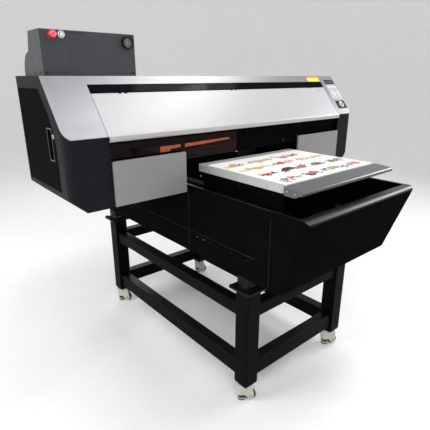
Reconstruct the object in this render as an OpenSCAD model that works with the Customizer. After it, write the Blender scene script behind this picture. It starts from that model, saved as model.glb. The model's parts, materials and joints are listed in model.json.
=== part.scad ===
// Flatbed UV printer on a wheeled stand.
// Millimetres, +Z up. The origin is on the floor under the middle of the machine,
// +X runs along the gantry to the right and -Y points to the front, where the bed comes out.

/* [Stand] */
// Width of the stand over its legs
stand_w = 730; // [720:2:740]
// Depth of the stand over its legs
stand_d = 1250; // [1230:2:1270]
// Side of a leg's square tube
leg_w = 77; // [74:1:80]
// Height of the legs' top ends above the floor
leg_top = 585; // [580:1:590]
// Height of a caster, and of the legs' lower ends
caster_h = 103; // [103:1:106]
// Width of the rails between the legs
rail_w = 55; // [50:1:60]
// Height of the upper rails' underside
upper_rail_z = 442; // [436:1:450]
// Height of the upper rails' section
upper_rail_h = 61; // [55:1:70]
// Height of the lower rails' underside
lower_rail_z = 130; // [120:1:140]
// Height of the lower rails' section
lower_rail_h = 80; // [70:1:85]

/* [Base box] */
// Width of the base box
box_w = 756; // [752:1:760]
// Depth of the base box over its rolled rims
box_d = 1812; // [1808:1:1816]
// Depth of the base box along its underside
box_foot_d = 1620; // [1616:1:1624]
// Height of the base box's underside
box_bottom = 658; // [656:1:660]
// Height of the base box's rim
box_top = 978; // [976:1:980]
// Radius of the rolled rims
rim_r = 22.5; // [22:0.5:24]

/* [Gantry housing] */
// Width of the housing over both end caps
house_w = 1812; // [1808:1:1816]
// Depth of the housing
house_d = 465; // [463:1:467]
// Height of the housing's top
house_top = 1439; // [1437:1:1441]
// Height of the housing's underside
house_bottom = 943; // [941:1:945]
// Height at which the sloping front meets the upright front
slope_low_z = 1222; // [1220:1:1224]
// Distance from the machine's middle to the top edge of the slope
slope_top_y = 57; // [55:1:59]
// Width of the left end cap
cap_left_w = 168; // [166:1:170]
// Width of the right end cap
cap_right_w = 142; // [140:1:144]
// Half width of the tunnel that the bed passes through
tunnel_half = 386; // [384:1:388]
// Height of the tunnel's roof and of the front doors' top edges
tunnel_top = 1131; // [1129:1:1133]

/* [Bed] */
// Width of the table
table_w = 636; // [632:1:640]
// Depth of the table
table_d = 509; // [505:1:513]
// Thickness of the table
table_t = 29; // [28:1:30]
// Height of the printed panel's face
bed_top = 1064; // [1062:1:1065]
// Distance from the machine's middle to the table's front edge
table_front = 742; // [740:1:744]
// Depth of the bar along the table's front edge
bar_d = 82; // [78:1:84]

/* [Control cabinet] */
// Width of the cabinet on top of the housing
cab_w = 390; // [386:1:394]
// Depth of the cabinet's roof
cab_d = 118; // [114:1:122]
// Height of the cabinet
cab_h = 163; // [161:1:165]

/* [Hidden] */

$fn = 48;
EPS = 0.01;
RUN_FIT = 0.05;          // radial clearance of every shaft in its bore
SHELL = 5;               // thickness of the moulded shells

// Colours
INK_BLACK = [0.07, 0.075, 0.08];
CHARCOAL = [0.12, 0.12, 0.14];
SILVER = [0.76, 0.77, 0.79];
LID_WHITE = [0.93, 0.93, 0.95];
DOOR_GREY = [0.54, 0.54, 0.53];
SLATE = [0.24, 0.25, 0.27];
STEEL = [0.62, 0.63, 0.65];
IVORY = [0.86, 0.84, 0.78];
AMBER = [0.72, 0.33, 0.12];
RUBBER = [0.05, 0.05, 0.05];

// Stand
leg_x = stand_w / 2 - leg_w / 2;
leg_y = stand_d / 2 - leg_w / 2;
LEG_PLACES = [[-leg_x, -leg_y], [leg_x, -leg_y], [-leg_x, leg_y], [leg_x, leg_y]];
LEG_WALL = 4;
HEAD_PLATE_W = leg_w + 44;
HEAD_PLATE_T = 9;
FOOT_W = 72;             // machine's square feet on the head plates

// Casters, drawn about their own upright axis and then set under a leg
CASTER_TURNS = [-38, -30, -45, -35];
CASTER_PLATE_T = 6;
KINGPIN_R = 6;
WHEEL_R = 25;
WHEEL_W = 22;
WHEEL_TRAIL = 24;
AXLE_R = 4;
PAD_OFFSET = -18;
PAD_STEM_R = 6;

// Base box
WALL = 6;
box_x = box_w / 2;
rim_y = box_d / 2 - rim_r;
rim_z = box_top - rim_r;
foot_y = box_foot_d / 2;
COWL_Y = 740;
FLANGE_W = 15;
FLANGE_T = 3;
FOOT_R = 15;
SKIN = 5;
COWL_CORNER_R = 26;
CREASE_Z = 742;
cowl_foot = [foot_y - FOOT_R, box_bottom + FOOT_R];
cowl_span = sqrt(pow(cowl_foot.x - rim_y, 2) + pow(cowl_foot.y - rim_z, 2));
cowl_lean = atan2(cowl_foot.y - rim_z, cowl_foot.x - rim_y);

// Machine frame and bed drive
BEAM_X = 290;
BEAM_W = 56;
BEAM_TOP = 724;
BED_RAIL_W = 20;
BED_RAIL_H = 18;
SCREW_Z = 745;
SCREW_R = 10;
JOURNAL_R = 8;
CARRIAGE_Y = -495;
CARRIAGE_HALF_Y = 205;
CARRIAGE_Z = 766;
CARRIAGE_T = 20;
POST_X = 215;
POST_Y = 150;
POST_R = 12;
POST_TOP = 940;
SLEEVE_BOTTOM = 870;

// Bed table
table_y = -table_front + table_d / 2;
PANEL_T = 2;
table_top_z = bed_top - PANEL_T;
table_bottom_z = table_top_z - table_t;
PLATFORM_T = 108;
LIFT_TRAVEL = 40;
platform_bottom_z = table_bottom_z - PLATFORM_T;
TABLE_CORNER_R = 18;

// Housing
house_x = house_w / 2;
house_y = house_d / 2;
inner_left_x = -house_x + cap_left_w;
inner_right_x = house_x - cap_right_w;
CAP_CORNER_R = 35;
CHAMFER_X = 58;
CHAMFER_Z = 53;
slope_run = house_y - slope_top_y;
slope_rise = house_top - slope_low_z;
slope_len = sqrt(slope_run * slope_run + slope_rise * slope_rise);
slope_angle = atan2(slope_rise, slope_run);
STRIP_END = 41;          // distances down the slope
WINDOW_END = 79;
LID_START = 84;
PANEL_SKIN = 2.5;
COVER_T = 3;             // thickness of the sheet covers

// Lid hinge
LID_T = 5;
LID_PIN_R = 1.5;
LID_KNUCKLE_R = 3;
LID_KNUCKLE_L = 12;
LID_HINGES = [-600, 13, 626];
LIP_H = 22;

// Side doors
SIDE_DOOR_T = 5;
SIDE_DOOR_X = house_x - 2;
SIDE_DOOR_Z = [1017, 1391];
SIDE_HINGE_X = house_x - 4.5;
SIDE_HINGE_Y = 216;
SIDE_KNUCKLE_R = 4;
SIDE_PIN_R = 2;
SIDE_HINGES = [1064, 1322];
SIDE_KNUCKLE_L = 10.5;
DOOR_GAP = 2;
LOCK_Y = -122;
LOCK_Z = 1226;
LOCK_R = 8;
PULL_Y = -88;
PULL_Z = 1192;
PULL_W = 44;
PULL_H = 117;
PULL_DEPTH = 14;

// Front doors
FRONT_DOOR_T = 10;
FRONT_DOOR_IN = tunnel_half;
FRONT_PIN_R = 2.5;
FRONT_PIN_L = 18;
FRONT_PIN_IN = 11;       // from the cap's inner edge to the pin
LUG_T = 3;
FRONT_DOOR_Y = -house_y - FRONT_DOOR_T;

// Covers inside the housing
FASCIA_SPLIT_X = -60;
APRON_Z = 1090;          // lower edge of the fascia and the shield inside the tunnel
HEAD_PASS_Z = 1058;      // top of the tunnel's walls where the print heads cross them
HEAD_PASS_Y = [-130, 45];

// Gantry
UPRIGHT_X = 330;
UPRIGHT_W = 32;
UPRIGHT_Y = 30;
UPRIGHT_D = 160;
BEAM_BOTTOM = 1160;
BEAM_H = 130;
BEAM_Y = 40;
BEAM_D = 100;
BEAM_HALF = 770;
X_RAILS = [1172, 1262];
X_RAIL_H = 15;
X_RAIL_D = 12;
PULLEY_Z = 1222;
PULLEY_X = 720;
PULLEY_R = 15;
PULLEY_W = 14;
PULLEY_Y = 6;
PULLEY_SHAFT_R = 4;
BELT_T = 1.5;
BELT_W = 10;
PRINT_X = -560;
PRINT_HALF = 120;

// Control cabinet
cab_x = -876;
cab_y = -27;
cab_top = house_top + cab_h;
CAB_WALL = 4;
ESTOP = [-831, 1584];
POWER = [-795, 1586];
GAUGE = [-522, 1569];
GAUGE_R = 24;

// Control panel, in distances along X and down the slope
PANEL_MID_X = 848;
START_S = 213;
DISPLAY_S = 46;

// ---------------------------------------------------------------- helpers

// A block between two opposite corners
module block(a, b) {
    translate([min(a.x, b.x), min(a.y, b.y), min(a.z, b.z)])
        cube([abs(b.x - a.x), abs(b.y - a.y), abs(b.z - a.z)]);
}

// A flat rectangle about the origin with round corners
module round_rect(w, d, r) {
    square([w - 2 * r, d], center = true);
    square([w, d - 2 * r], center = true);
    for (x = [-1, 1], y = [-1, 1])
        translate([x * (w / 2 - r), y * (d / 2 - r)])
            circle(r);
}

// An upright block with round upright edges, standing at z
module round_block(w, d, h, r, z = 0) {
    translate([0, 0, z])
        linear_extrude(h)
            round_rect(w, d, r);
}

// A cylinder along X or Y that starts at the point given
module rod_x(p, r, len) {
    translate(p) rotate([0, 90, 0]) cylinder(r = r, h = len);
}
module rod_y(p, r, len) {
    translate(p) rotate([-90, 0, 0]) cylinder(r = r, h = len);
}

// Extrudes a (Y, Z) outline along X
module along_x(x0, x1) {
    translate([x0, 0, 0])
        rotate([90, 0, 90])
            linear_extrude(x1 - x0)
                children();
}

// Puts children on the sloping front: X stays, Y runs down the slope, Z stands out of it
module on_slope(s = 0) {
    translate([0, -slope_top_y, house_top])
        rotate([slope_angle, 0, 0])
            translate([0, -s, 0])
                children();
}

// Points of an arc about c, from angle a0 to a1
function arc(c, r, a0, a1, n) =
    [for (i = [0:n]) let (a = a0 + (a1 - a0) * i / n) [c.x + r * cos(a), c.y + r * sin(a)]];

// ---------------------------------------------------------------- stand

module stand_legs() {
    color(INK_BLACK)
        for (p = LEG_PLACES)
            translate(p)
                difference() {
                    round_block(leg_w, leg_w, leg_top - caster_h, 5, caster_h);
                    round_block(leg_w - 2 * LEG_WALL, leg_w - 2 * LEG_WALL,
                                leg_top - caster_h + 2, 2, caster_h - 1);
                }
}

// Two rails along Y and two along X at one height
module rail_ring(z, h) {
    span_x = stand_w - 2 * leg_w;
    span_y = stand_d - 2 * leg_w;
    for (s = [-1, 1]) {
        translate([s * leg_x, 0, z + h / 2])
            rotate([90, 0, 0])
                linear_extrude(span_y, center = true)
                    difference() {
                        round_rect(rail_w, h, 4);
                        round_rect(rail_w - 6, h - 6, 2);
                    }
        translate([0, s * leg_y, z + h / 2])
            rotate([90, 0, 90])
                linear_extrude(span_x, center = true)
                    difference() {
                        round_rect(rail_w, h, 4);
                        round_rect(rail_w - 6, h - 6, 2);
                    }
    }
}

module stand_rails() {
    color(INK_BLACK) {
        rail_ring(lower_rail_z, lower_rail_h);
        rail_ring(upper_rail_z, upper_rail_h);
    }
}

// Plates that close both ends of each leg, the caster's kingpin and the machine's foot
module leg_heads() {
    foot_z = leg_top + HEAD_PLATE_T;
    color(SLATE)
        for (p = LEG_PLACES)
            translate(p) {
                round_block(HEAD_PLATE_W, HEAD_PLATE_W, HEAD_PLATE_T, 6, leg_top);
                translate([0, 0, foot_z]) cylinder(r = 44, h = 8);
                translate([0, 0, foot_z]) cylinder(r = 22, h = 16);
                round_block(FOOT_W, FOOT_W, box_bottom - foot_z - 15, 6, foot_z + 15);
                round_block(72, 72, CASTER_PLATE_T, 6, caster_h - CASTER_PLATE_T);
                translate([0, 0, caster_h - 30]) cylinder(r = KINGPIN_R, h = 30);
            }
}

// ---------------------------------------------------------------- casters

module at_caster(i) {
    translate(LEG_PLACES[i])
        rotate([0, 0, CASTER_TURNS[i]])
            children();
}

// Body that turns about the kingpin: crown, foot housing and the wheel's two cheeks
module swivel(i) {
    crown_top = caster_h - CASTER_PLATE_T - 0.5;
    color(IVORY)
        at_caster(i)
            difference() {
                union() {
                    translate([0, 0, crown_top - 13]) cylinder(r = 31, h = 13);
                    translate([PAD_OFFSET + 4, 0, 36]) round_block(48, 46, crown_top - 42, 9);
                    for (s = [-1, 1])
                        translate([0, s * 18, 0])
                            rotate([90, 0, 0])
                                linear_extrude(8, center = true) {
                                    translate([WHEEL_TRAIL, WHEEL_R]) circle(15);
                                    polygon([[-2, 36], [WHEEL_TRAIL - 13, 17], [WHEEL_TRAIL + 14.6, 29],
                                             [30, crown_top - 6], [-2, crown_top - 6]]);
                                }
                }
                translate([0, 0, caster_h - 31]) cylinder(r = KINGPIN_R + RUN_FIT, h = 40);
                translate([WHEEL_TRAIL, 0, WHEEL_R])
                    rotate([90, 0, 0]) cylinder(r = 27.5, h = WHEEL_W + 2, center = true);
                translate([WHEEL_TRAIL, 0, WHEEL_R])
                    rotate([90, 0, 0]) cylinder(r = AXLE_R + RUN_FIT, h = 60, center = true);
                translate([PAD_OFFSET, 0, 30]) cylinder(r = PAD_STEM_R + RUN_FIT, h = 38);
            }
}

// Wheel with its axle, which turns in the cheeks
module wheel(i) {
    color(RUBBER)
        at_caster(i)
            translate([WHEEL_TRAIL, 0, WHEEL_R])
                rotate([90, 0, 0]) {
                    rotate_extrude()
                        polygon([[0, -WHEEL_W / 2], [WHEEL_R - 3, -WHEEL_W / 2],
                                 [WHEEL_R, -WHEEL_W / 2 + 3], [WHEEL_R, WHEEL_W / 2 - 3],
                                 [WHEEL_R - 3, WHEEL_W / 2], [0, WHEEL_W / 2]]);
                    cylinder(r = AXLE_R, h = 43, center = true);
                }
}

// Levelling foot: pad, dial and the stem that screws up into the housing
module pad(i) {
    color(STEEL)
        at_caster(i)
            translate([PAD_OFFSET, 0, 0]) {
                translate([0, 0, 5]) cylinder(r1 = 17, r2 = 15, h = 8);
                translate([0, 0, 12]) cylinder(r = PAD_STEM_R, h = 50);
                translate([0, 0, 20]) cylinder(r = 15, h = 13);
            }
}

// ---------------------------------------------------------------- base box

// Side wall on the right, with its rim flange, service groove and vents
module base_side() {
    groove_z = 762;
    vent_z = 745;
    difference() {
        union() {
            block([box_x - WALL, -COWL_Y, box_bottom], [box_x, COWL_Y, box_top]);
            block([box_x - FLANGE_W, -COWL_Y, box_top - FLANGE_T], [box_x, COWL_Y, box_top]);
        }
        block([box_x - 1.5, -666, groove_z], [box_x + 1, 666, groove_z + 3]);
        for (side = [-1, 1], i = [0:7])
            translate([box_x, side * (300 + 46 * i), vent_z])
                rotate([0, 90, 0])
                    linear_extrude(3 * WALL, center = true)
                        round_rect(4, 20, 1.9);
    }
}

module base_sides() {
    color(INK_BLACK) {
        base_side();
        mirror([1, 0, 0]) base_side();
    }
}

// Outline of the cowl in (Y forward, Z), inset by d from its outer face
function cowl_outline(d) =
    let (r1 = rim_r - d,
         r2 = FOOT_R - d,
         a = cowl_lean + 90 + asin((r2 - r1) / cowl_span))
    concat(arc([rim_y, rim_z], r1, 180, a, 20), arc(cowl_foot, r2, a, -90, 8));

// Leaning bar with round corners, whose front face lies on the leaning panel
module cowl_corners(inset_x, inset_y, r) {
    depth = 600;
    length = 1400;
    face = cowl_lean + 90 + asin((FOOT_R - rim_r) / cowl_span);
    front = [rim_y + rim_r * cos(face), rim_z + rim_r * sin(face)];
    translate([0, front.x, front.y])
        rotate([face, 0, 0])
            translate([0, -depth / 2 + EPS - inset_y, 0])
                linear_extrude(length, center = true)
                    round_rect(box_w - 2 * inset_x, depth, r);
}

// Rolled rim, leaning front panel, underside and side cheeks, with round corners
module cowl() {
    outer = cowl_outline(0);
    inner = cowl_outline(SKIN);
    last = len(inner) - 1;
    hook = rim_y - rim_r;
    rotate([0, 0, 180]) {
        difference() {
            intersection() {
                along_x(-box_x, box_x)
                    polygon(concat([[COWL_Y, box_top], [rim_y, box_top]],
                                   [for (p = outer) if (p.x > rim_y || p.y < rim_z) p],
                                   [[COWL_Y, box_bottom]]));
                cowl_corners(0, 0, COWL_CORNER_R);
            }
            // Inside, open at the back and at the top behind the rim
            intersection() {
                along_x(-box_x + WALL, box_x - WALL)
                    polygon(concat([[COWL_Y - 1, box_bottom + SKIN]],
                                   [for (i = [last:-1:0]) inner[i]],
                                   [[hook, rim_z], [hook, box_top + 1], [COWL_Y - 1, box_top + 1]]));
                cowl_corners(WALL, SKIN - 1, COWL_CORNER_R - WALL);
            }
            // Crease across the leaning panel
            translate([0, foot_y + (CREASE_Z - box_bottom) * 0.345, CREASE_Z])
                rotate([-18.6, 0, 0])
                    cube([box_w - 90, 10, 3], center = true);
        }
        for (s = [-1, 1])
            block([s * (box_x - FLANGE_W), COWL_Y, box_top - FLANGE_T],
                  [s * (box_x - WALL + EPS), hook, box_top]);
    }
}

module base_front_cowl() {
    color(INK_BLACK) cowl();
}

module base_back_cowl() {
    color(INK_BLACK) rotate([0, 0, 180]) cowl();
}

module base_floor() {
    color(INK_BLACK)
        difference() {
            block([-box_x + WALL, -COWL_Y, box_bottom], [box_x - WALL, COWL_Y, box_bottom + WALL]);
            for (x = [-120, 0, 120], y = [-400, 400])
                translate([x, y, box_bottom])
                    linear_extrude(3 * WALL, center = true)
                        round_rect(14, 160, 6);
        }
}

// ---------------------------------------------------------------- machine frame

// Beams under the bed's rails and the uprights that carry the gantry
module machine_frame() {
    floor_z = box_bottom + WALL;
    color(CHARCOAL)
        for (s = [-1, 1]) {
            difference() {
                block([s * (BEAM_X - BEAM_W / 2), -730, floor_z],
                      [s * (BEAM_X + BEAM_W / 2), 730, BEAM_TOP]);
                block([s * (BEAM_X - BEAM_W / 2 + 5), -731, floor_z + 5],
                      [s * (BEAM_X + BEAM_W / 2 - 5), 731, BEAM_TOP - 5]);
            }
            block([s * UPRIGHT_X, UPRIGHT_Y, floor_z],
                  [s * (UPRIGHT_X + UPRIGHT_W), UPRIGHT_Y + UPRIGHT_D, BEAM_BOTTOM]);
        }
}

module linear_rails() {
    color(STEEL) {
        for (s = [-1, 1])
            translate([s * BEAM_X, 0, BEAM_TOP + BED_RAIL_H / 2])
                rotate([90, 0, 0])
                    linear_extrude(1440, center = true)
                        difference() {
                            square([BED_RAIL_W, BED_RAIL_H], center = true);
                            for (g = [-1, 1])
                                translate([g * BED_RAIL_W / 2, 1]) circle(3, $fn = 24);
                        }
        for (z = X_RAILS)
            block([-690, BEAM_Y - X_RAIL_D, z], [690, BEAM_Y, z + X_RAIL_H]);
    }
}

// Servo motors of the bed's screw and of the carriage's belt, with their brackets
module drive_motors() {
    floor_z = box_bottom + WALL;
    color(CHARCOAL) {
        for (s = [-1, 1])
            difference() {
                block([-32, s * 724, floor_z], [32, s * 738, SCREW_Z + 32]);
                rod_y([0, -760, SCREW_Z], JOURNAL_R + RUN_FIT, 1520);
            }
        translate([0, 738, SCREW_Z])
            rotate([-90, 0, 0])
                difference() {
                    linear_extrude(68) round_rect(62, 62, 8);
                    translate([0, 0, -1]) cylinder(r = JOURNAL_R + 2, h = 20);
                }
        for (s = [-1, 1])
            pulley_bracket(s);
        // Belt motor, in front of the driving pulley
        difference() {
            translate([PULLEY_X, -58, PULLEY_Z])
                rotate([-90, 0, 0])
                    linear_extrude(56) round_rect(56, 56, 6);
            rod_y([PULLEY_X, -20, PULLEY_Z], PULLEY_SHAFT_R + RUN_FIT, 30);
        }
    }
}

// Fork about a belt pulley, bolted to the beam's front face
module pulley_bracket(s) {
    difference() {
        union() {
            block([s * (PULLEY_X - 22), BEAM_Y - 14, PULLEY_Z - 34],
                  [s * (PULLEY_X + 22), BEAM_Y, PULLEY_Z + 34]);
            for (z = [-34, 28])
                block([s * (PULLEY_X - 22), -8, PULLEY_Z + z],
                      [s * (PULLEY_X + 22), BEAM_Y - 14, PULLEY_Z + z + 6]);
            if (s < 0)
                block([s * (PULLEY_X - 22), -8, PULLEY_Z - 34],
                      [s * (PULLEY_X + 22), -2, PULLEY_Z + 34]);
        }
        rod_y([s * PULLEY_X, -20, PULLEY_Z], PULLEY_SHAFT_R + RUN_FIT, 52);
    }
}

module belt_pulley(s) {
    color(STEEL)
        translate([s * PULLEY_X, PULLEY_Y, PULLEY_Z])
            rotate([-90, 0, 0]) {
                cylinder(r = PULLEY_R, h = PULLEY_W);
                for (z = [0, PULLEY_W - 1.2])
                    translate([0, 0, z]) cylinder(r = PULLEY_R + 3, h = 1.2);
                translate([0, 0, -12]) cylinder(r = PULLEY_SHAFT_R, h = 34);
            }
}

module drive_pulley() {
    belt_pulley(1);
}

module idler_pulley() {
    belt_pulley(-1);
}

// Toothed belt round both pulleys
module carriage_belt() {
    r_in = PULLEY_R + 0.3;
    color(RUBBER)
        translate([0, PULLEY_Y + PULLEY_W / 2 + BELT_W / 2, PULLEY_Z])
            rotate([90, 0, 0])
                linear_extrude(BELT_W)
                    difference() {
                        belt_outline(r_in + BELT_T);
                        belt_outline(r_in);
                    }
}

module belt_outline(r) {
    square([2 * PULLEY_X, 2 * r], center = true);
    for (s = [-1, 1])
        translate([s * PULLEY_X, 0]) circle(r);
}

// Box beam across the machine with an end plate for each cap
module gantry_beam() {
    plate_x = BEAM_HALF;
    color(SLATE) {
        difference() {
            block([-BEAM_HALF, BEAM_Y, BEAM_BOTTOM],
                  [BEAM_HALF, BEAM_Y + BEAM_D, BEAM_BOTTOM + BEAM_H]);
            block([-BEAM_HALF - 1, BEAM_Y + 7, BEAM_BOTTOM + 7],
                  [BEAM_HALF + 1, BEAM_Y + BEAM_D - 7, BEAM_BOTTOM + BEAM_H - 7]);
        }
        for (s = [-1, 1])
            block([s * plate_x, -30, 1110],
                  [s * (plate_x + 8), house_y - SHELL, house_top - SHELL]);
    }
}

// ---------------------------------------------------------------- housing

// Outline of the housing in (Y, Z), inset by d all round
function house_outline(d) =
    let (yf = -house_y + d,
         yb = house_y - d,
         zt = house_top - d,
         zb = house_bottom + d,
         // The sloping line moves in by d along its normal
         z_low = slope_low_z - d * (slope_len - slope_rise) / slope_run,
         y_top = -slope_top_y + d * (slope_len - slope_run) / slope_rise)
    [[yb, zb], [yb, zt], [y_top, zt], [yf, z_low], [yf, zb]];

// Left end cap as a full solid: round front corner and chamfered lower edge
module cap_form(w, d = 0) {
    r = CAP_CORNER_R - d;
    intersection() {
        along_x(-house_x + d, -house_x + w) polygon(house_outline(d));
        translate([0, 0, house_bottom - 1])
            linear_extrude(house_top - house_bottom + 2)
                union() {
                    translate([-house_x + CAP_CORNER_R, -house_y + CAP_CORNER_R]) circle(r);
                    translate([-house_x + d, -house_y + CAP_CORNER_R])
                        square([w - d, house_d - CAP_CORNER_R - d]);
                    translate([-house_x + CAP_CORNER_R, -house_y + d])
                        square([w - CAP_CORNER_R, house_d - 2 * d]);
                }
        // Chamfer along the lower outer edge
        rotate([90, 0, 0])
            linear_extrude(house_d + 2, center = true)
                polygon([[-house_x, house_top + 1],
                         [-house_x, house_bottom + CHAMFER_Z + d * 0.4],
                         [-house_x + CHAMFER_X + d * 0.4, house_bottom - EPS],
                         [-house_x + w + 1, house_bottom - EPS],
                         [-house_x + w + 1, house_top + 1]]);
    }
}

// Slab of the sloping face, from depth d0 to d1 under it
module slope_slab(x0, x1, s0, s1, d0, d1) {
    on_slope()
        block([x0, -s1, -d1], [x1, -s0, -d0]);
}

// Outline of a side door in (Y, Z), grown by g
module side_door_outline(g = 0) {
    back = SIDE_HINGE_Y - 5 + g;
    edge_y = -146 - g;
    low = SIDE_DOOR_Z[0] - g;
    high = SIDE_DOOR_Z[1] + g;
    polygon([[back, low], [back, high], [-24 - g * 0.6, high],
             [-112 - g, 1286 + g * 0.4], [edge_y, 1196 + g * 0.3], [edge_y, low]]);
}

// One end cap, drawn at the left; w is its width
module end_cap(w) {
    pin_x = -house_x + w + FRONT_PIN_IN;
    pin_y = -house_y - FRONT_DOOR_T / 2;
    difference() {
        cap_form(w);
        cap_form(w + 2, SHELL);
        slope_slab(-house_x - 1, house_x, -1, slope_len + 1, -1, PANEL_SKIN);
        // Door opening, with a notch for the hinge side
        along_x(-house_x - 1, -house_x + SHELL + 1) side_door_outline(DOOR_GAP);
        block([-house_x - 1, SIDE_HINGE_Y - 8, SIDE_DOOR_Z[0] - DOOR_GAP],
              [-house_x + SHELL + 1, SIDE_HINGE_Y + 7, SIDE_DOOR_Z[1] + DOOR_GAP]);
    }
    // Hinge knuckles and pins for the side door
    for (z = SIDE_HINGES) {
        for (k = [0, 2])
            translate([0, 0, z + k * (SIDE_KNUCKLE_L + 0.5)]) {
                translate([-SIDE_HINGE_X, SIDE_HINGE_Y, 0])
                    cylinder(r = SIDE_KNUCKLE_R, h = SIDE_KNUCKLE_L);
                block([-SIDE_HINGE_X - 1, SIDE_HINGE_Y + 1, 0],
                      [-SIDE_HINGE_X + 3.5, house_y - 2, SIDE_KNUCKLE_L]);
            }
        translate([-SIDE_HINGE_X, SIDE_HINGE_Y, z])
            cylinder(r = SIDE_PIN_R, h = 3 * SIDE_KNUCKLE_L + 1);
    }
    // Lugs and pins that carry the front door
    for (z = [house_bottom, tunnel_top - LUG_T])
        block([-house_x + w - 14, FRONT_DOOR_Y + 1, z],
              [-house_x + w + 18, -house_y + 3, z + LUG_T]);
    for (z = [house_bottom, tunnel_top - FRONT_PIN_L])
        translate([pin_x, pin_y, z]) cylinder(r = FRONT_PIN_R, h = FRONT_PIN_L);
}

module end_cap_left() {
    color(CHARCOAL) end_cap(cap_left_w);
}

module end_cap_right() {
    color(CHARCOAL)
        difference() {
            mirror([1, 0, 0]) end_cap(cap_right_w);
            on_slope(START_S)
                translate([PANEL_MID_X, 0, -12]) cylinder(r = 15, h = 14);
        }
}

// Brushed skin on the left cap's slope
module silver_panel() {
    color(SILVER)
        intersection() {
            cap_form(cap_left_w);
            slope_slab(-house_x - 1, inner_left_x, -0.9, slope_len + 0.9, 0, PANEL_SKIN);
        }
}

// Skin on the right cap's slope, with the display bezel, key mats and the start button's frame
module control_panel() {
    color(SILVER)
        difference() {
            intersection() {
                mirror([1, 0, 0]) cap_form(cap_right_w);
                slope_slab(inner_right_x, house_x + 1, -0.9, slope_len + 0.9, 0, PANEL_SKIN);
            }
            on_slope() {
                translate([PANEL_MID_X, -START_S, -5]) cylinder(r = 14 + RUN_FIT, h = 10);
                translate([PANEL_MID_X, -DISPLAY_S, -1]) linear_extrude(3) round_rect(78, 24, 3);
            }
        }
}

// Flat roof and the silver strip that starts down the slope
module top_cover() {
    edge = [-slope_top_y - STRIP_END * cos(slope_angle), house_top - STRIP_END * sin(slope_angle)];
    inward = COVER_T * [sin(slope_angle), -cos(slope_angle)];
    color(SILVER)
        along_x(inner_left_x, inner_right_x)
            polygon([[house_y, house_top], [-slope_top_y, house_top], edge, edge + inward,
                     [-slope_top_y + COVER_T * tan(slope_angle / 2), house_top - COVER_T],
                     [house_y, house_top - COVER_T]]);
}

// Black window under the silver strip; it carries the lid's fixed hinge knuckles
module window_strip() {
    color(INK_BLACK) {
        slope_slab(inner_left_x, inner_right_x, STRIP_END + 0.1, WINDOW_END, 0, 4);
        for (x = LID_HINGES)
            on_slope(LID_START) {
                for (k = [-1, 1])
                    translate([x + k * (LID_KNUCKLE_L + 0.5), 0, -LID_KNUCKLE_R]) {
                        rod_x([-LID_KNUCKLE_L / 2, 0, 0], LID_KNUCKLE_R, LID_KNUCKLE_L);
                        block([-LID_KNUCKLE_L / 2, 0, 0.5],
                              [LID_KNUCKLE_L / 2, LID_START - WINDOW_END, -0.9]);
                    }
                rod_x([x - 1.5 * LID_KNUCKLE_L, 0, -LID_KNUCKLE_R], LID_PIN_R, 3 * LID_KNUCKLE_L);
            }
    }
}

// Hinged front cover of the carriage bay
module lid() {
    x0 = inner_left_x + DOOR_GAP;
    x1 = inner_right_x - DOOR_GAP;
    color(LID_WHITE)
        on_slope(LID_START)
            difference() {
                union() {
                    block([x0, -(slope_len - LID_START), -LID_T], [x1, 0, 0]);
                    rod_x([x0, 0, -LID_KNUCKLE_R], 2.0, x1 - x0);
                    for (x = LID_HINGES)
                        rod_x([x - LID_KNUCKLE_L / 2, 0, -LID_KNUCKLE_R], LID_KNUCKLE_R, LID_KNUCKLE_L);
                    // Stiffening ribs along the inside
                    for (s = [50, 120])
                        block([x0 + 30, -s - 8, -LID_T - 8], [x1 - 30, -s, -LID_T + 1]);
                }
                for (x = LID_HINGES) {
                    for (k = [-1, 1])
                        block([x + k * (LID_KNUCKLE_L / 2 + 0.25), -4, -12],
                              [x + k * (1.5 * LID_KNUCKLE_L + 1), 6, 5]);
                    rod_x([x - 2 * LID_KNUCKLE_L, 0, -LID_KNUCKLE_R],
                          LID_PIN_R + RUN_FIT, 4 * LID_KNUCKLE_L);
                }
            }
}

// Grip along the lid's lower edge
module lid_lip() {
    x0 = inner_left_x + DOOR_GAP;
    x1 = inner_right_x - DOOR_GAP;
    y = -house_y - 9;
    z = slope_low_z;
    color(STEEL)
        along_x(x0, x1)
            polygon([[-house_y, z], [y + 2, z + 1.5], [y, z - 2], [y, z - LIP_H + 6],
                     [y + 1.8, z - LIP_H + 1.8], [y + 6, z - LIP_H],
                     [y + 22, z - LIP_H], [y + 22, z - LIP_H + 4],
                     [y + 7, z - LIP_H + 4], [y + 4, z - LIP_H + 7],
                     [y + 4, z - 6.5], [-house_y + 4, z - 6.5]]);
}

// Sheet at the back, cut out round the tunnel and slotted for air
module rear_cover() {
    color(INK_BLACK)
        difference() {
            block([inner_left_x, house_y - COVER_T, house_bottom],
                  [inner_right_x, house_y, house_top - COVER_T]);
            block([-tunnel_half, house_y - 4, house_bottom - 1], [tunnel_half, house_y + 1, tunnel_top]);
            for (x = [-560, 560], i = [0:7])
                translate([x, house_y, 1190 + 14 * i])
                    rotate([90, 0, 0])
                        linear_extrude(12, center = true)
                            round_rect(150, 5, 2.4);
            translate([600, house_y, 1010])
                rotate([90, 0, 0])
                    linear_extrude(12, center = true)
                        round_rect(50, 30, 3);
        }
}

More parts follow.
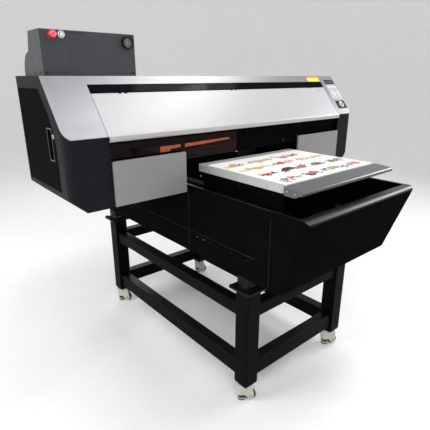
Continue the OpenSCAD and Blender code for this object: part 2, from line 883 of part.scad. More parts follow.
// Pans under both arms, the tunnel's walls and the dark fascia behind the lid's grip
module inner_covers() {
    pan_y = -house_y + 3;
    back_y = house_y - 3;
    color(INK_BLACK) {
        for (s = [-1, 1]) {
            edge = s < 0 ? inner_left_x : inner_right_x;
            difference() {
                union() {
                    block([edge, pan_y, house_bottom], [s * tunnel_half, back_y, house_bottom + 4]);
                    block([s * (tunnel_half + 4), pan_y, house_bottom],
                          [s * tunnel_half, back_y, tunnel_top]);
                }
                // Room for the front door's swinging edge
                block([edge - 20, pan_y - 1, house_bottom - 1], [edge + 20, pan_y + 12, house_bottom + 5]);
                // Gap through which the print heads cross the tunnel's wall
                block([s * (tunnel_half - 1), HEAD_PASS_Y[0], HEAD_PASS_Z],
                      [s * (tunnel_half + 5), HEAD_PASS_Y[1], tunnel_top + 1]);
            }
        }
        // Fascia: a bar along the full width and a panel over its right-hand part
        block([inner_left_x, -house_y + 16, 1190], [inner_right_x, -house_y + 26, 1214]);
        apron_panel(inner_right_x, 1, -house_y + 16, 4);
    }
}

// Panel across the front from the fascia's split, with an apron that hangs in the tunnel
module apron_panel(outer_x, side, y, t) {
    apron_x = side * (tunnel_half - 2);
    translate([0, y + t, 0])
        rotate([90, 0, 0])
            linear_extrude(t)
                polygon([[FASCIA_SPLIT_X, APRON_Z], [apron_x, APRON_Z], [apron_x, tunnel_top],
                         [outer_x, tunnel_top], [outer_x, 1190], [FASCIA_SPLIT_X, 1190]]);
}

// Amber sheet that keeps stray ultraviolet light in
module uv_shield() {
    color(AMBER) apron_panel(inner_left_x, -1, -house_y + 17, 3);
}

// ---------------------------------------------------------------- control cabinet

// Outline of the cabinet in (Y, Z), inset by d, with its bulging back
function cabinet_outline(d) =
    let (back = cab_y + cab_d)
    concat([[cab_y + d, house_top], [cab_y + d, cab_top - d], [back + 4 - d, cab_top - d],
            [back + 30 - d, house_top + 92 + d * 0.3]],
           [for (i = [1:8]) let (a = 90 - i * 90 / 8)
                [back + 30 + (79 - d) * cos(a) - d * sin(a) * 0.2, house_top + (90 - d * 0.6) * sin(a)]]);

module rear_cabinet() {
    color(SLATE)
        difference() {
            along_x(cab_x, cab_x + cab_w) polygon(cabinet_outline(0));
            along_x(cab_x + CAB_WALL, cab_x + cab_w - CAB_WALL)
                polygon(concat([[cab_y + CAB_WALL, house_top - 1]], cabinet_outline(CAB_WALL),
                               [[cab_y + cab_d + 105, house_top - 1]]));
            rod_y([ESTOP.x, cab_y - 1, ESTOP.y], 6 + RUN_FIT, 10);
            rod_y([POWER.x, cab_y - 1, POWER.y], 7 + RUN_FIT, 10);
        }
}

// Vacuum gauge and the collars of the two push buttons
module cabinet_fittings() {
    color(CHARCOAL) {
        translate([GAUGE.x, cab_y, GAUGE.y])
            rotate([90, 0, 0])
                difference() {
                    cylinder(r = GAUGE_R, h = 13);
                    translate([0, 0, 3]) cylinder(r = GAUGE_R - 5, h = 12);
                }
        translate([GAUGE.x, cab_y - 8, GAUGE.y])
            rotate([-90, 0, 0]) cylinder(r = 1.5, h = 8);
        for (b = [[ESTOP, 10.5, 6], [POWER, 10.5, 7]])
            translate([b[0].x, cab_y, b[0].y])
                rotate([90, 0, 0])
                    difference() {
                        cylinder(r = b[1], h = 5);
                        translate([0, 0, -1]) cylinder(r = b[2] + RUN_FIT, h = 8);
                    }
    }
}

module gauge_needle() {
    color("white")
        translate([GAUGE.x, cab_y - 6, GAUGE.y])
            rotate([90, 0, 0])
                difference() {
                    union() {
                        cylinder(r = 3.5, h = 1.5);
                        linear_extrude(1)
                            polygon([[-1.4, -6], [1.4, -6], [0.4, 15.5], [-0.4, 15.5]]);
                    }
                    translate([0, 0, -1]) cylinder(r = 1.5 + RUN_FIT, h = 5);
                }
}

module estop_button() {
    color("red")
        translate([ESTOP.x, cab_y + 14, ESTOP.y])
            rotate([90, 0, 0]) {
                cylinder(r = 6, h = 26);
                translate([0, 0, 24])
                    rotate_extrude()
                        polygon([[0, 0], [10, 0], [14, 3], [14.5, 7], [13, 11], [9, 13], [0, 14]]);
            }
}

module power_button() {
    color("white")
        translate([POWER.x, cab_y + 12, POWER.y])
            rotate([90, 0, 0]) {
                cylinder(r = 7, h = 19);
                translate([0, 0, 19]) cylinder(r1 = 7, r2 = 6, h = 1);
            }
}

module start_button() {
    color(STEEL)
        on_slope(START_S)
            translate([PANEL_MID_X, 0, -14]) {
                cylinder(r = 14, h = 16);
                translate([0, 0, 16]) cylinder(r1 = 14, r2 = 13, h = 1);
            }
}

// Three-pin inlet in the rear cover
module power_inlet() {
    color(INK_BLACK)
        translate([600, house_y, 1010])
            rotate([-90, 0, 0])
                difference() {
                    union() {
                        translate([0, 0, -26]) linear_extrude(26) round_rect(48, 28, 3);
                        linear_extrude(3) round_rect(62, 40, 4);
                    }
                    translate([0, 0, -20]) linear_extrude(30) round_rect(28, 20, 3);
                }
}

// ---------------------------------------------------------------- doors

// Side door, drawn at the left: panel, flush pull and hinge knuckles
module side_door() {
    outer = -SIDE_DOOR_X;
    inner = outer + SIDE_DOOR_T;
    color(INK_BLACK)
        difference() {
            union() {
                along_x(outer, inner) side_door_outline();
                // Cup behind the flush pull
                block([inner - 1, PULL_Y - PULL_W / 2 - 3, PULL_Z - PULL_H / 2 - 3],
                      [outer + PULL_DEPTH + 3, PULL_Y + PULL_W / 2 + 3, PULL_Z + PULL_H / 2 + 3]);
                for (z = SIDE_HINGES)
                    translate([0, 0, z + SIDE_KNUCKLE_L + 0.5]) {
                        translate([-SIDE_HINGE_X, SIDE_HINGE_Y, 0.25])
                            cylinder(r = SIDE_KNUCKLE_R, h = SIDE_KNUCKLE_L - 0.5);
                        block([outer + 0.5, SIDE_HINGE_Y - 8, 0.25],
                              [inner, SIDE_HINGE_Y, SIDE_KNUCKLE_L - 0.25]);
                    }
            }
            block([outer - 1, PULL_Y - PULL_W / 2, PULL_Z - PULL_H / 2],
                  [outer + PULL_DEPTH, PULL_Y + PULL_W / 2, PULL_Z + PULL_H / 2]);
            rod_x([outer - 1, LOCK_Y, LOCK_Z], LOCK_R + RUN_FIT, SIDE_DOOR_T + 2);
            for (z = SIDE_HINGES)
                translate([-SIDE_HINGE_X, SIDE_HINGE_Y, z])
                    cylinder(r = SIDE_PIN_R + RUN_FIT, h = 3 * SIDE_KNUCKLE_L + 1);
        }
}

module side_door_left() {
    side_door();
}

module side_door_right() {
    mirror([1, 0, 0]) side_door();
}

// Quarter-turn lock: slotted face, barrel and the cam behind the door
module side_lock() {
    outer = -SIDE_DOOR_X;
    color(STEEL)
        difference() {
            union() {
                rod_x([outer - 1.5, LOCK_Y, LOCK_Z], LOCK_R, SIDE_DOOR_T + 6);
                block([outer + 7, LOCK_Y - 5, LOCK_Z - 26], [outer + 10, LOCK_Y + 5, LOCK_Z]);
            }
            block([outer - 2, LOCK_Y - 1, LOCK_Z - 5], [outer - 0.5, LOCK_Y + 1, LOCK_Z + 5]);
        }
}

module side_lock_left() {
    side_lock();
}

module side_lock_right() {
    mirror([1, 0, 0]) side_lock();
}

// Front door, drawn at the left between its pin and the tunnel
module front_door(w) {
    x0 = -house_x + w + 5;
    x1 = -FRONT_DOOR_IN;
    z0 = house_bottom + LUG_T + 1;
    z1 = tunnel_top - LUG_T - 1;
    y0 = FRONT_DOOR_Y;
    pin_x = -house_x + w + FRONT_PIN_IN;
    color(DOOR_GREY)
        difference() {
            block([x0, y0, z0], [x1, -house_y, z1]);
            // Hollow back, with a rim all round
            block([x0 + 16, y0 + 3, z0 + 12], [x1 - 12, -house_y + 1, z1 - 12]);
            for (z = [house_bottom - 1, tunnel_top - FRONT_PIN_L - 1])
                translate([pin_x, -house_y - FRONT_DOOR_T / 2, z])
                    cylinder(r = FRONT_PIN_R + RUN_FIT, h = FRONT_PIN_L + 2);
        }
}

module front_door_left() {
    front_door(cap_left_w);
}

module front_door_right() {
    mirror([1, 0, 0]) front_door(cap_right_w);
}

// ---------------------------------------------------------------- bed

// Plate that runs on the bed's rails, with the screw's nut under it
module bed_carriage() {
    y0 = CARRIAGE_Y - CARRIAGE_HALF_Y;
    y1 = CARRIAGE_Y + CARRIAGE_HALF_Y;
    color(CHARCOAL)
        difference() {
            union() {
                block([-(BEAM_X + 24), y0, CARRIAGE_Z], [BEAM_X + 24, y1, CARRIAGE_Z + CARRIAGE_T]);
                block([-24, CARRIAGE_Y - 30, SCREW_Z - 20], [24, CARRIAGE_Y + 30, CARRIAGE_Z]);
            }
            rod_y([0, CARRIAGE_Y - 31, SCREW_Z], SCREW_R + RUN_FIT, 62);
            for (x = [-120, 120])
                translate([x, CARRIAGE_Y, CARRIAGE_Z])
                    linear_extrude(3 * CARRIAGE_T, center = true)
                        round_rect(90, 220, 12);
        }
}

// Bearing blocks on the rails, guide posts and the lifting actuator's body
module lift_posts() {
    color(STEEL) {
        for (x = [-BEAM_X, BEAM_X], y = [-150, 150])
            translate([x, CARRIAGE_Y + y, 0])
                difference() {
                    block([-22, -40, BEAM_TOP + 4], [22, 40, CARRIAGE_Z]);
                    block([-BED_RAIL_W / 2 - 0.5, -41, BEAM_TOP],
                          [BED_RAIL_W / 2 + 0.5, 41, BEAM_TOP + BED_RAIL_H + 0.5]);
                }
        for (x = [-POST_X, POST_X], y = [-POST_Y, POST_Y])
            translate([x, table_y + y, CARRIAGE_Z + CARRIAGE_T]) {
                cylinder(r = POST_R, h = POST_TOP - CARRIAGE_Z - CARRIAGE_T);
                cylinder(r = 22, h = 10);
            }
        translate([0, table_y, CARRIAGE_Z + CARRIAGE_T])
            difference() {
                cylinder(r = 30, h = 110);
                translate([0, 0, 20]) cylinder(r = 10 + RUN_FIT, h = 100);
            }
    }
}

module bed_screw() {
    color(STEEL) {
        rod_y([0, -720, SCREW_Z], SCREW_R, 1440);
        rod_y([0, -738, SCREW_Z], JOURNAL_R, 1476);
    }
}

// Black deck under the table, with the sleeves and the actuator's rod
module bed_platform() {
    w = table_w - 36;
    d = table_d - 30;
    color(INK_BLACK) {
        difference() {
            union() {
                translate([0, table_y, 0])
                    round_block(w, d, PLATFORM_T, 10, platform_bottom_z);
                for (x = [-POST_X, POST_X], y = [-POST_Y, POST_Y])
                    translate([x, table_y + y, SLEEVE_BOTTOM])
                        cylinder(r = 20, h = platform_bottom_z - SLEEVE_BOTTOM + 1);
            }
            // The deck is a folded tray, open underneath
            difference() {
                translate([0, table_y, 0])
                    round_block(w - 12, d - 12, PLATFORM_T - 8, 6, platform_bottom_z - 1);
                for (x = [-POST_X, POST_X], y = [-POST_Y, POST_Y])
                    translate([x, table_y + y, platform_bottom_z - 2])
                        cylinder(r = 20, h = PLATFORM_T);
            }
            for (x = [-POST_X, POST_X], y = [-POST_Y, POST_Y])
                translate([x, table_y + y, SLEEVE_BOTTOM - 1])
                    cylinder(r = POST_R + RUN_FIT, h = POST_TOP + LIFT_TRAVEL + 5 - SLEEVE_BOTTOM);
        }
        translate([0, table_y, 862])
            cylinder(r = 10, h = table_bottom_z - 8 - 861);
    }
}

module vacuum_table() {
    color(SILVER)
        translate([0, table_y, 0])
            round_block(table_w, table_d, table_t, TABLE_CORNER_R, table_bottom_z);
}

// White panel being printed, lying on the table
module print_panel() {
    color("white")
        translate([4, table_y - 22, 0])
            round_block(table_w - 30, table_d - 62, PANEL_T, 4, table_top_z);
}

// Bent bar along the table's front edge, with its roller end
module front_bar() {
    back = -table_front;
    front = back - bar_d;
    top = table_top_z - 1;
    x = table_w / 2;
    color(SLATE) {
        along_x(-x, x)
            polygon(concat([[back, top], [front + 12, top - 5]],
                           arc([front + 12, top - 17], 12, 90, 200, 10),
                           [[front + 5, top - 24], [front + 14, top - 9],
                            [back, top - 5]]));
        for (s = [-1, 1])
            along_x(s < 0 ? -x : x - 5, s < 0 ? -x + 5 : x)
                polygon([[back, top - 1], [front + 12, top - 6], [front + 6, top - 20],
                         [front + 30, top - 34], [back, top - 34]]);
        rod_x([x - 70, front + 40, top - 30], 9, 66);
    }
}

// ---------------------------------------------------------------- print carriage

// Carriage that runs along the beam on both rails
module print_carriage() {
    x0 = PRINT_X - PRINT_HALF;
    x1 = PRINT_X + PRINT_HALF;
    color(CHARCOAL)
        difference() {
            union() {
                block([x0, -120, 1100], [x1, 4, 1310]);
                for (z = X_RAILS)
                    for (x = [x0 + 10, x1 - 70])
                        block([x, 3, z - 12], [x + 60, 36, z + X_RAIL_H + 12]);
            }
            for (z = X_RAILS)
                block([x0 - 1, BEAM_Y - X_RAIL_D - 0.5, z - 0.5],
                      [x1 + 1, BEAM_Y + 1, z + X_RAIL_H + 0.5]);
            // Hollow body, open at the top for the ink dampers
            block([x0 + 6, -114, 1106], [x1 - 6, -2, 1311]);
        }
}

// Print heads under the carriage, with the curing lamp beside them
module print_heads() {
    color(STEEL) {
        for (i = [0:1])
            block([PRINT_X - 55 + 62 * i, -98, 1068], [PRINT_X - 9 + 62 * i, -22, 1100]);
        block([PRINT_X + 76, -110, 1074], [PRINT_X + 114, -10, 1100]);
    }
}

// Cap and wiper unit under the parked carriage
module capping_station() {
    color(CHARCOAL) {
        block([PRINT_X - 80, -110, house_bottom + 4], [PRINT_X + 80, -10, 1048]);
        for (i = [0:1])
            block([PRINT_X - 57 + 62 * i, -100, 1048], [PRINT_X - 7 + 62 * i, -20, 1062]);
    }
}

// ---------------------------------------------------------------- nodes

stand_legs();
stand_rails();
leg_heads();
base_sides();
base_front_cowl();
base_back_cowl();
base_floor();
machine_frame();
linear_rails();
drive_motors();
gantry_beam();
end_cap_left();
end_cap_right();
silver_panel();
control_panel();
top_cover();
window_strip();
rear_cover();
inner_covers();
uv_shield();
rear_cabinet();
cabinet_fittings();
power_inlet();
carriage_belt();
capping_station();
bed_carriage();
lift_posts();
bed_screw();
bed_platform();
vacuum_table();
print_panel();
front_bar();
print_carriage();
print_heads();
drive_pulley();
idler_pulley();
lid();
lid_lip();
side_door_left();
side_door_right();
side_lock_left();
side_lock_right();
front_door_left();
front_door_right();
estop_button();
power_button();
gauge_needle();
start_button();
swivel(0);  // swivel_front_left
swivel(1);  // swivel_front_right
swivel(2);  // swivel_back_left
swivel(3);  // swivel_back_right
wheel(0);  // wheel_front_left
wheel(1);  // wheel_front_right
wheel(2);  // wheel_back_left
wheel(3);  // wheel_back_right
pad(0);  // pad_front_left
pad(1);  // pad_front_right
pad(2);  // pad_back_left
pad(3);  // pad_back_right
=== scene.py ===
"""Flatbed UV printer: materials, small parts, stage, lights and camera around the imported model."""

import json
import math
import random

import bmesh
import bpy
from mathutils import Euler, Matrix, Vector


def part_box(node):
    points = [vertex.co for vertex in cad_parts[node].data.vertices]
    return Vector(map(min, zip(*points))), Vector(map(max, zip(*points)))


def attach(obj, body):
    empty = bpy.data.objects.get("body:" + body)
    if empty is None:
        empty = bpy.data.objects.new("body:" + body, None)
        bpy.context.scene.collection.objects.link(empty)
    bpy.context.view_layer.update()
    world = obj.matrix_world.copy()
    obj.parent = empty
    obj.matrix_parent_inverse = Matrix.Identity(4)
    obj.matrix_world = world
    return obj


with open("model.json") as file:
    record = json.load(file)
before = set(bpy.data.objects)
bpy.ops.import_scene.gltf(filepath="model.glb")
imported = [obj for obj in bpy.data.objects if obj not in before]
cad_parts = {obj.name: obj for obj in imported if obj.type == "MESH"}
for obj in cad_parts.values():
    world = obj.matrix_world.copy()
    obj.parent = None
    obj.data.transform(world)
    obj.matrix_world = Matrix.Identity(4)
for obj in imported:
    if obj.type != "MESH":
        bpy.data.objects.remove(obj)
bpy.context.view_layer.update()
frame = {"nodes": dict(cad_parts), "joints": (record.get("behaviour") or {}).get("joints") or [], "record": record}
nodes = frame["nodes"]

SHARP_ANGLE = math.radians(35)

# ------------------------------------------------------------------ places, in metres

rear_lo, rear_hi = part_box("rear_cover")
cap_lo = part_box("end_cap_left")[0]
door_lo, door_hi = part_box("side_door_left")
lid_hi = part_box("lid")[1]
cabinet_lo, cabinet_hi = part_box("rear_cabinet")
print_lo, print_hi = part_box("print_panel")
start_lo, start_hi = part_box("start_button")
shield_lo, shield_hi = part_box("uv_shield")
legs_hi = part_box("stand_legs")[1]
carriage_lo, carriage_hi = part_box("print_carriage")

joints = {j["name"]: j for j in frame["joints"]}
HOUSE_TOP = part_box("top_cover")[1].z
INWARD = Vector(joints["start_press"]["axis"])
SLOPE_ANGLE = math.atan2(INWARD.y, -INWARD.z)
SLOPE_TOP_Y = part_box("silver_panel")[1].y - 0.0025   # where the roof bends into the slope
START_X = (start_lo.x + start_hi.x) / 2
PRINT_TOP = print_hi.z
DOOR_INSET = 0.002                  # how far the side doors sit inside the end caps' faces


def slope(x, down):
    """Matrix on the sloping front: x along it, local Y up the slope, local Z out of it."""
    turn = Euler((SLOPE_ANGLE, 0, 0)).to_matrix().to_4x4()
    place = Vector((x, SLOPE_TOP_Y, HOUSE_TOP)) + turn @ Vector((0, -down, 0))
    return Matrix.Translation(place) @ turn


def facing(direction, place):
    """Matrix at a place, with local Z along 'front', 'back', 'left' or 'right'."""
    turns = {
        "front": Euler((math.pi / 2, 0, 0)),
        "back": Euler((math.pi / 2, 0, math.pi)),
        "left": Euler((math.pi / 2, 0, -math.pi / 2)),
        "right": Euler((math.pi / 2, 0, math.pi / 2)),
    }
    return Matrix.Translation(Vector(place)) @ turns[direction].to_matrix().to_4x4()


# ------------------------------------------------------------------ materials


class Nodes:
    """Short calls for building one material's node tree."""

    def __init__(self, name):
        self.material = bpy.data.materials.new(name)
        self.material.use_nodes = True
        self.tree = self.material.node_tree
        self.shader = self.tree.nodes["Principled BSDF"]
        self.coords = self.tree.nodes.new("ShaderNodeTexCoord").outputs["Object"]

    def link(self, a, b):
        self.tree.links.new(a, b)

    def noise(self, scale, detail=3.0, stretch=(1, 1, 1), rough=0.55):
        mapping = self.tree.nodes.new("ShaderNodeMapping")
        mapping.inputs["Scale"].default_value = stretch
        self.link(self.coords, mapping.inputs["Vector"])
        node = self.tree.nodes.new("ShaderNodeTexNoise")
        node.inputs["Scale"].default_value = scale
        node.inputs["Detail"].default_value = detail
        node.inputs["Roughness"].default_value = rough
        self.link(mapping.outputs["Vector"], node.inputs["Vector"])
        return node.outputs["Fac"]

    def span(self, value, low, high, from_low=0.3, from_high=0.7):
        node = self.tree.nodes.new("ShaderNodeMapRange")
        node.inputs["From Min"].default_value = from_low
        node.inputs["From Max"].default_value = from_high
        node.inputs["To Min"].default_value = low
        node.inputs["To Max"].default_value = high
        self.link(value, node.inputs["Value"])
        return node.outputs["Result"]

    def mix(self, factor, a, b):
        node = self.tree.nodes.new("ShaderNodeMix")
        node.data_type = "RGBA"
        self.link(factor, node.inputs["Factor"])
        for value, socket in ((a, node.inputs[6]), (b, node.inputs[7])):
            if isinstance(value, tuple):
                socket.default_value = (*value, 1.0)
            else:
                self.link(value, socket)
        return node.outputs[2]

    def math(self, operation, a, b):
        node = self.tree.nodes.new("ShaderNodeMath")
        node.operation = operation
        for value, socket in zip((a, b), node.inputs):
            if isinstance(value, float):
                socket.default_value = value
            else:
                self.link(value, socket)
        return node.outputs["Value"]

    def bump(self, height, strength, distance):
        node = self.tree.nodes.new("ShaderNodeBump")
        node.inputs["Strength"].default_value = strength
        node.inputs["Distance"].default_value = distance
        self.link(height, node.inputs["Height"])
        self.link(node.outputs["Normal"], self.shader.inputs["Normal"])

    def edge(self, radius):
        """About 1 on a sharp outer or inner edge, and 0 on flat stretches."""
        bevel = self.tree.nodes.new("ShaderNodeBevel")
        bevel.samples = 4
        bevel.inputs["Radius"].default_value = radius
        normal = self.tree.nodes.new("ShaderNodeNewGeometry").outputs["Normal"]
        dot = self.tree.nodes.new("ShaderNodeVectorMath")
        dot.operation = "DOT_PRODUCT"
        self.link(bevel.outputs["Normal"], dot.inputs[0])
        self.link(normal, dot.inputs[1])
        return self.span(dot.outputs["Value"], 1.0, 0.0, 0.80, 0.985)


def shade(colour, factor):
    """The colour made lighter or darker, at most white."""
    return tuple(min(1.0, c * factor) for c in colour)


def finish(name, colour, rough, metallic=0.0, mottle=0.08, uneven=0.06, grain=1400.0, bump=0.08,
           stretch=(1, 1, 1), wear=None, coat=0.0, coat_rough=0.1, depth=0.00012, specular=0.5):
    """A painted, moulded or machined surface: mottled colour, uneven roughness, fine grain, worn edges."""
    n = Nodes(name)
    cloud = n.noise(7.0, 4.0, stretch)
    base = n.mix(n.span(cloud, 0.0, 1.0), shade(colour, 1 - mottle), shade(colour, 1 + mottle))
    smear = n.noise(31.0, 5.0, stretch, 0.7)
    n.link(n.span(smear, rough - uneven, rough + uneven), n.shader.inputs["Roughness"])
    if wear:
        chips = n.span(n.noise(190.0, 6.0, (1, 1, 1), 0.75), 0.0, 1.0, 0.50, 0.62)
        base = n.mix(n.math("MULTIPLY", n.edge(0.0012), chips), base, wear)
    n.link(base, n.shader.inputs["Base Color"])
    n.bump(n.noise(grain, 2.0, stretch, 0.6), bump, depth)
    n.shader.inputs["Metallic"].default_value = metallic
    n.shader.inputs["Specular IOR Level"].default_value = specular
    if coat:
        n.shader.inputs["Coat Weight"].default_value = coat
        n.shader.inputs["Coat Roughness"].default_value = coat_rough
    return n.material


def polished_upward(material, low, high):
    """Ties the clear coat to the surface's own direction: high on faces that look up, low on the others."""
    tree = material.node_tree
    normal = tree.nodes.new("ShaderNodeNewGeometry").outputs["Normal"]
    split = tree.nodes.new("ShaderNodeSeparateXYZ")
    tree.links.new(normal, split.inputs["Vector"])
    ramp = tree.nodes.new("ShaderNodeMapRange")
    ramp.inputs["From Min"].default_value = 0.15
    ramp.inputs["From Max"].default_value = 0.75
    ramp.inputs["To Min"].default_value = low
    ramp.inputs["To Max"].default_value = high
    tree.links.new(split.outputs["Z"], ramp.inputs["Value"])
    tree.links.new(ramp.outputs["Result"], tree.nodes["Principled BSDF"].inputs["Coat Weight"])


# Stretch of the noise, for brushing along X or Y
ALONG_X = (0.012, 1, 1)
ALONG_Y = (1, 0.012, 1)

SLOTS = {
    "stand_paint": finish("stand_paint", (0.0018, 0.0020, 0.0022), 0.42, bump=0.35, grain=900.0,
                          wear=(0.022, 0.022, 0.023), specular=0.02, coat=0.05, coat_rough=0.35),
    "base_paint": finish("base_paint", (0.0024, 0.0028, 0.0034), 0.36, bump=0.10, grain=1100.0,
                         wear=(0.03, 0.03, 0.033), specular=0.0, coat=0.10, coat_rough=0.32),
    "cap_plastic": finish("cap_plastic", (0.0088, 0.0090, 0.0115), 0.46, bump=0.45, grain=1500.0,
                          wear=(0.04, 0.04, 0.043), specular=0.03, coat=0.12, coat_rough=0.35),
    "door_gloss": finish("door_gloss", (0.0026, 0.0030, 0.0030), 0.30, uneven=0.05, bump=0.03, grain=300.0,
                         specular=0.0, coat=0.05, coat_rough=0.05),
    "brushed_silver": finish("brushed_silver", (0.300, 0.302, 0.315), 0.38, metallic=0.85, mottle=0.05,
                             stretch=ALONG_X, bump=0.12, grain=2600.0),
    "lid_white": finish("lid_white", (0.455, 0.455, 0.47), 0.34, mottle=0.012, bump=0.05, grain=700.0,
                        coat=0.30, coat_rough=0.24, wear=(0.5, 0.5, 0.51)),
    "lip_grey": finish("lip_grey", (0.50, 0.485, 0.475), 0.38, metallic=0.4, stretch=ALONG_X, grain=1800.0),
    "window_black": finish("window_black", (0.0040, 0.0046, 0.0050), 0.30, bump=0.02, grain=200.0,
                           specular=0.0, coat=0.08, coat_rough=0.08),
    "door_grey": finish("door_grey", (0.235, 0.230, 0.230), 0.45, mottle=0.03, bump=0.15, grain=1200.0,
                        wear=(0.45, 0.45, 0.44)),
    "cabinet_slate": finish("cabinet_slate", (0.040, 0.043, 0.047), 0.42, bump=0.3,
                            grain=1000.0, wear=(0.12, 0.12, 0.13), specular=0.35),
    "machine_steel": finish("machine_steel", (0.42, 0.43, 0.45), 0.32, metallic=1.0, mottle=0.1,
                            uneven=0.1, bump=0.1, grain=1700.0),
    "dark_steel": finish("dark_steel", (0.0040, 0.0042, 0.0048), 0.46, bump=0.3, grain=900.0,
                         wear=(0.05, 0.05, 0.053), specular=0.12),
    "beam_aluminium": finish("beam_aluminium", (0.33, 0.34, 0.36), 0.42, metallic=0.9, stretch=ALONG_X,
                             grain=1800.0),
    "table_aluminium": finish("table_aluminium", (0.42, 0.42, 0.40), 0.44, metallic=0.25, mottle=0.05,
                              stretch=ALONG_Y, grain=1600.0),
    "bar_grey": finish("bar_grey", (0.085, 0.088, 0.096), 0.32, metallic=0.55, stretch=ALONG_X, bump=0.1,
                       grain=1500.0, wear=(0.3, 0.3, 0.32), coat=0.3, coat_rough=0.12),
    "print_white": finish("print_white", (0.88, 0.88, 0.88), 0.5, mottle=0.012, bump=0.08, grain=1800.0),
    "belt_rubber": finish("belt_rubber", (0.012, 0.012, 0.012), 0.75, bump=0.4, grain=900.0),
    "wheel_rubber": finish("wheel_rubber", (0.012, 0.012, 0.013), 0.6, bump=0.35, grain=800.0, uneven=0.12),
    "caster_ivory": finish("caster_ivory", (0.46, 0.445, 0.38), 0.36, mottle=0.05, bump=0.1, grain=700.0,
                           coat=0.3, wear=(0.28, 0.26, 0.23)),
    "estop_red": finish("estop_red", (0.55, 0.012, 0.016), 0.28, mottle=0.05, bump=0.05, coat=0.5),
    "button_white": finish("button_white", (0.70, 0.74, 0.71), 0.3, mottle=0.02, bump=0.04, coat=0.4),
    "gauge_white": finish("gauge_white", (0.66, 0.66, 0.62), 0.45, mottle=0.03, bump=0.05),
    "fitting_black": finish("fitting_black", (0.0048, 0.0048, 0.0056), 0.42, bump=0.25, grain=1300.0,
                            specular=0.15),
}

EXTRAS = {
    "screen": finish("screen", (0.060, 0.066, 0.078), 0.45, bump=0.03, grain=200.0, specular=0.15),
    "membrane": finish("membrane", (0.42, 0.425, 0.44), 0.42, metallic=0.3, mottle=0.03, bump=0.1),
    "dial": finish("dial", (0.20, 0.20, 0.19), 0.45, mottle=0.06, bump=0.05),
    "key": finish("key", (0.70, 0.70, 0.72), 0.38, mottle=0.03, bump=0.08, coat=0.2),
    "label_yellow": finish("label_yellow", (0.80, 0.74, 0.06), 0.4, mottle=0.04, bump=0.05, grain=600.0),
    "label_orange": finish("label_orange", (0.72, 0.16, 0.03), 0.4, mottle=0.04, bump=0.05, grain=600.0),
    "dot_blue": finish("dot_blue", (0.10, 0.22, 0.72), 0.35, mottle=0.05, bump=0.05),
    "ring_pink": finish("ring_pink", (0.85, 0.22, 0.22), 0.35, mottle=0.05, bump=0.05, coat=0.3),
    "ink_red": finish("ink_red", (0.50, 0.016, 0.028), 0.42, mottle=0.22, bump=0.1, grain=2200.0),
    "ink_rust": finish("ink_rust", (0.36, 0.045, 0.020), 0.42, mottle=0.25, bump=0.1, grain=2200.0),
    "ink_yellow": finish("ink_yellow", (0.66, 0.34, 0.05), 0.42, mottle=0.2, bump=0.1, grain=2200.0),
    "ink_olive": finish("ink_olive", (0.55, 0.52, 0.17), 0.42, mottle=0.2, bump=0.1, grain=2200.0),
    "ink_black": finish("ink_black", (0.02, 0.02, 0.024), 0.4, mottle=0.2, bump=0.1, grain=2200.0),
    "orange": finish("orange", (0.34, 0.062, 0.012), 0.25, mottle=0.3, bump=0.05, grain=300.0, coat=0.2),
    "tube": finish("tube", (0.62, 0.63, 0.62), 0.22, mottle=0.05, bump=0.05, coat=0.4),
}


def clear_glass():
    """Clean clear sheet over the gauge's dial."""
    n = Nodes("clear_glass")
    n.link(n.span(n.noise(60.0), 0.02, 0.07), n.shader.inputs["Roughness"])
    n.bump(n.noise(80.0, 2.0), 0.02, 0.0002)
    n.shader.inputs["Base Color"].default_value = (0.96, 0.98, 0.97, 1.0)
    n.shader.inputs["Transmission Weight"].default_value = 1.0
    n.shader.inputs["IOR"].default_value = 1.46
    return n.material


EXTRAS["clear_glass"] = clear_glass()


def amber_sheet():
    """Deep amber acrylic, nearly black from outside, that lets a dim orange through."""
    n = Nodes("amber")
    smear = n.noise(12.0, 3.0)
    base = n.mix(n.span(smear, 0.0, 1.0), (0.0022, 0.0010, 0.0007), (0.0080, 0.0022, 0.0011))
    n.link(base, n.shader.inputs["Base Color"])
    n.link(n.span(n.noise(40.0), 0.06, 0.16), n.shader.inputs["Roughness"])
    n.bump(n.noise(60.0, 2.0), 0.03, 0.0003)
    n.shader.inputs["Transmission Weight"].default_value = 0.06
    n.shader.inputs["Specular IOR Level"].default_value = 0.03
    n.shader.inputs["Coat Weight"].default_value = 0.15
    n.shader.inputs["IOR"].default_value = 1.49
    return n.material


SLOTS["amber"] = amber_sheet()

polished_upward(SLOTS["base_paint"], 0.012, 1.0)
polished_upward(SLOTS["stand_paint"], 0.03, 0.30)

slot_of = {s["node"]: s["material_slot"] for s in frame["record"]["subparts"]}
EDGE_BEVEL = {"stand_paint": 0.0010, "base_paint": 0.0010, "print_white": 0.0003, "amber": 0.0003}
for name, obj in nodes.items():
    obj.data.materials.clear()
    obj.data.materials.append(SLOTS[slot_of[name]])
    weld = obj.modifiers.new("weld", "WELD")
    weld.merge_threshold = 0.000005
    soften = obj.modifiers.new("soften", "BEVEL")
    soften.width = EDGE_BEVEL.get(slot_of[name], 0.0006)
    soften.segments = 2
    soften.limit_method = "ANGLE"
    soften.angle_limit = SHARP_ANGLE
    even = obj.modifiers.new("even", "WEIGHTED_NORMAL")
    even.keep_sharp = True
    even.weight = 90

# ------------------------------------------------------------------ shapes


def rounded(width, height, radius, centre=(0.0, 0.0), steps=5):
    """Outline of a rectangle with round corners, anticlockwise."""
    points = []
    for quarter, (sx, sy) in enumerate(((1, 1), (-1, 1), (-1, -1), (1, -1))):
        for i in range(steps + 1):
            a = math.pi / 2 * (quarter + i / steps)
            points.append((centre[0] + sx * (width / 2 - radius) + radius * math.cos(a),
                           centre[1] + sy * (height / 2 - radius) + radius * math.sin(a)))
    return points


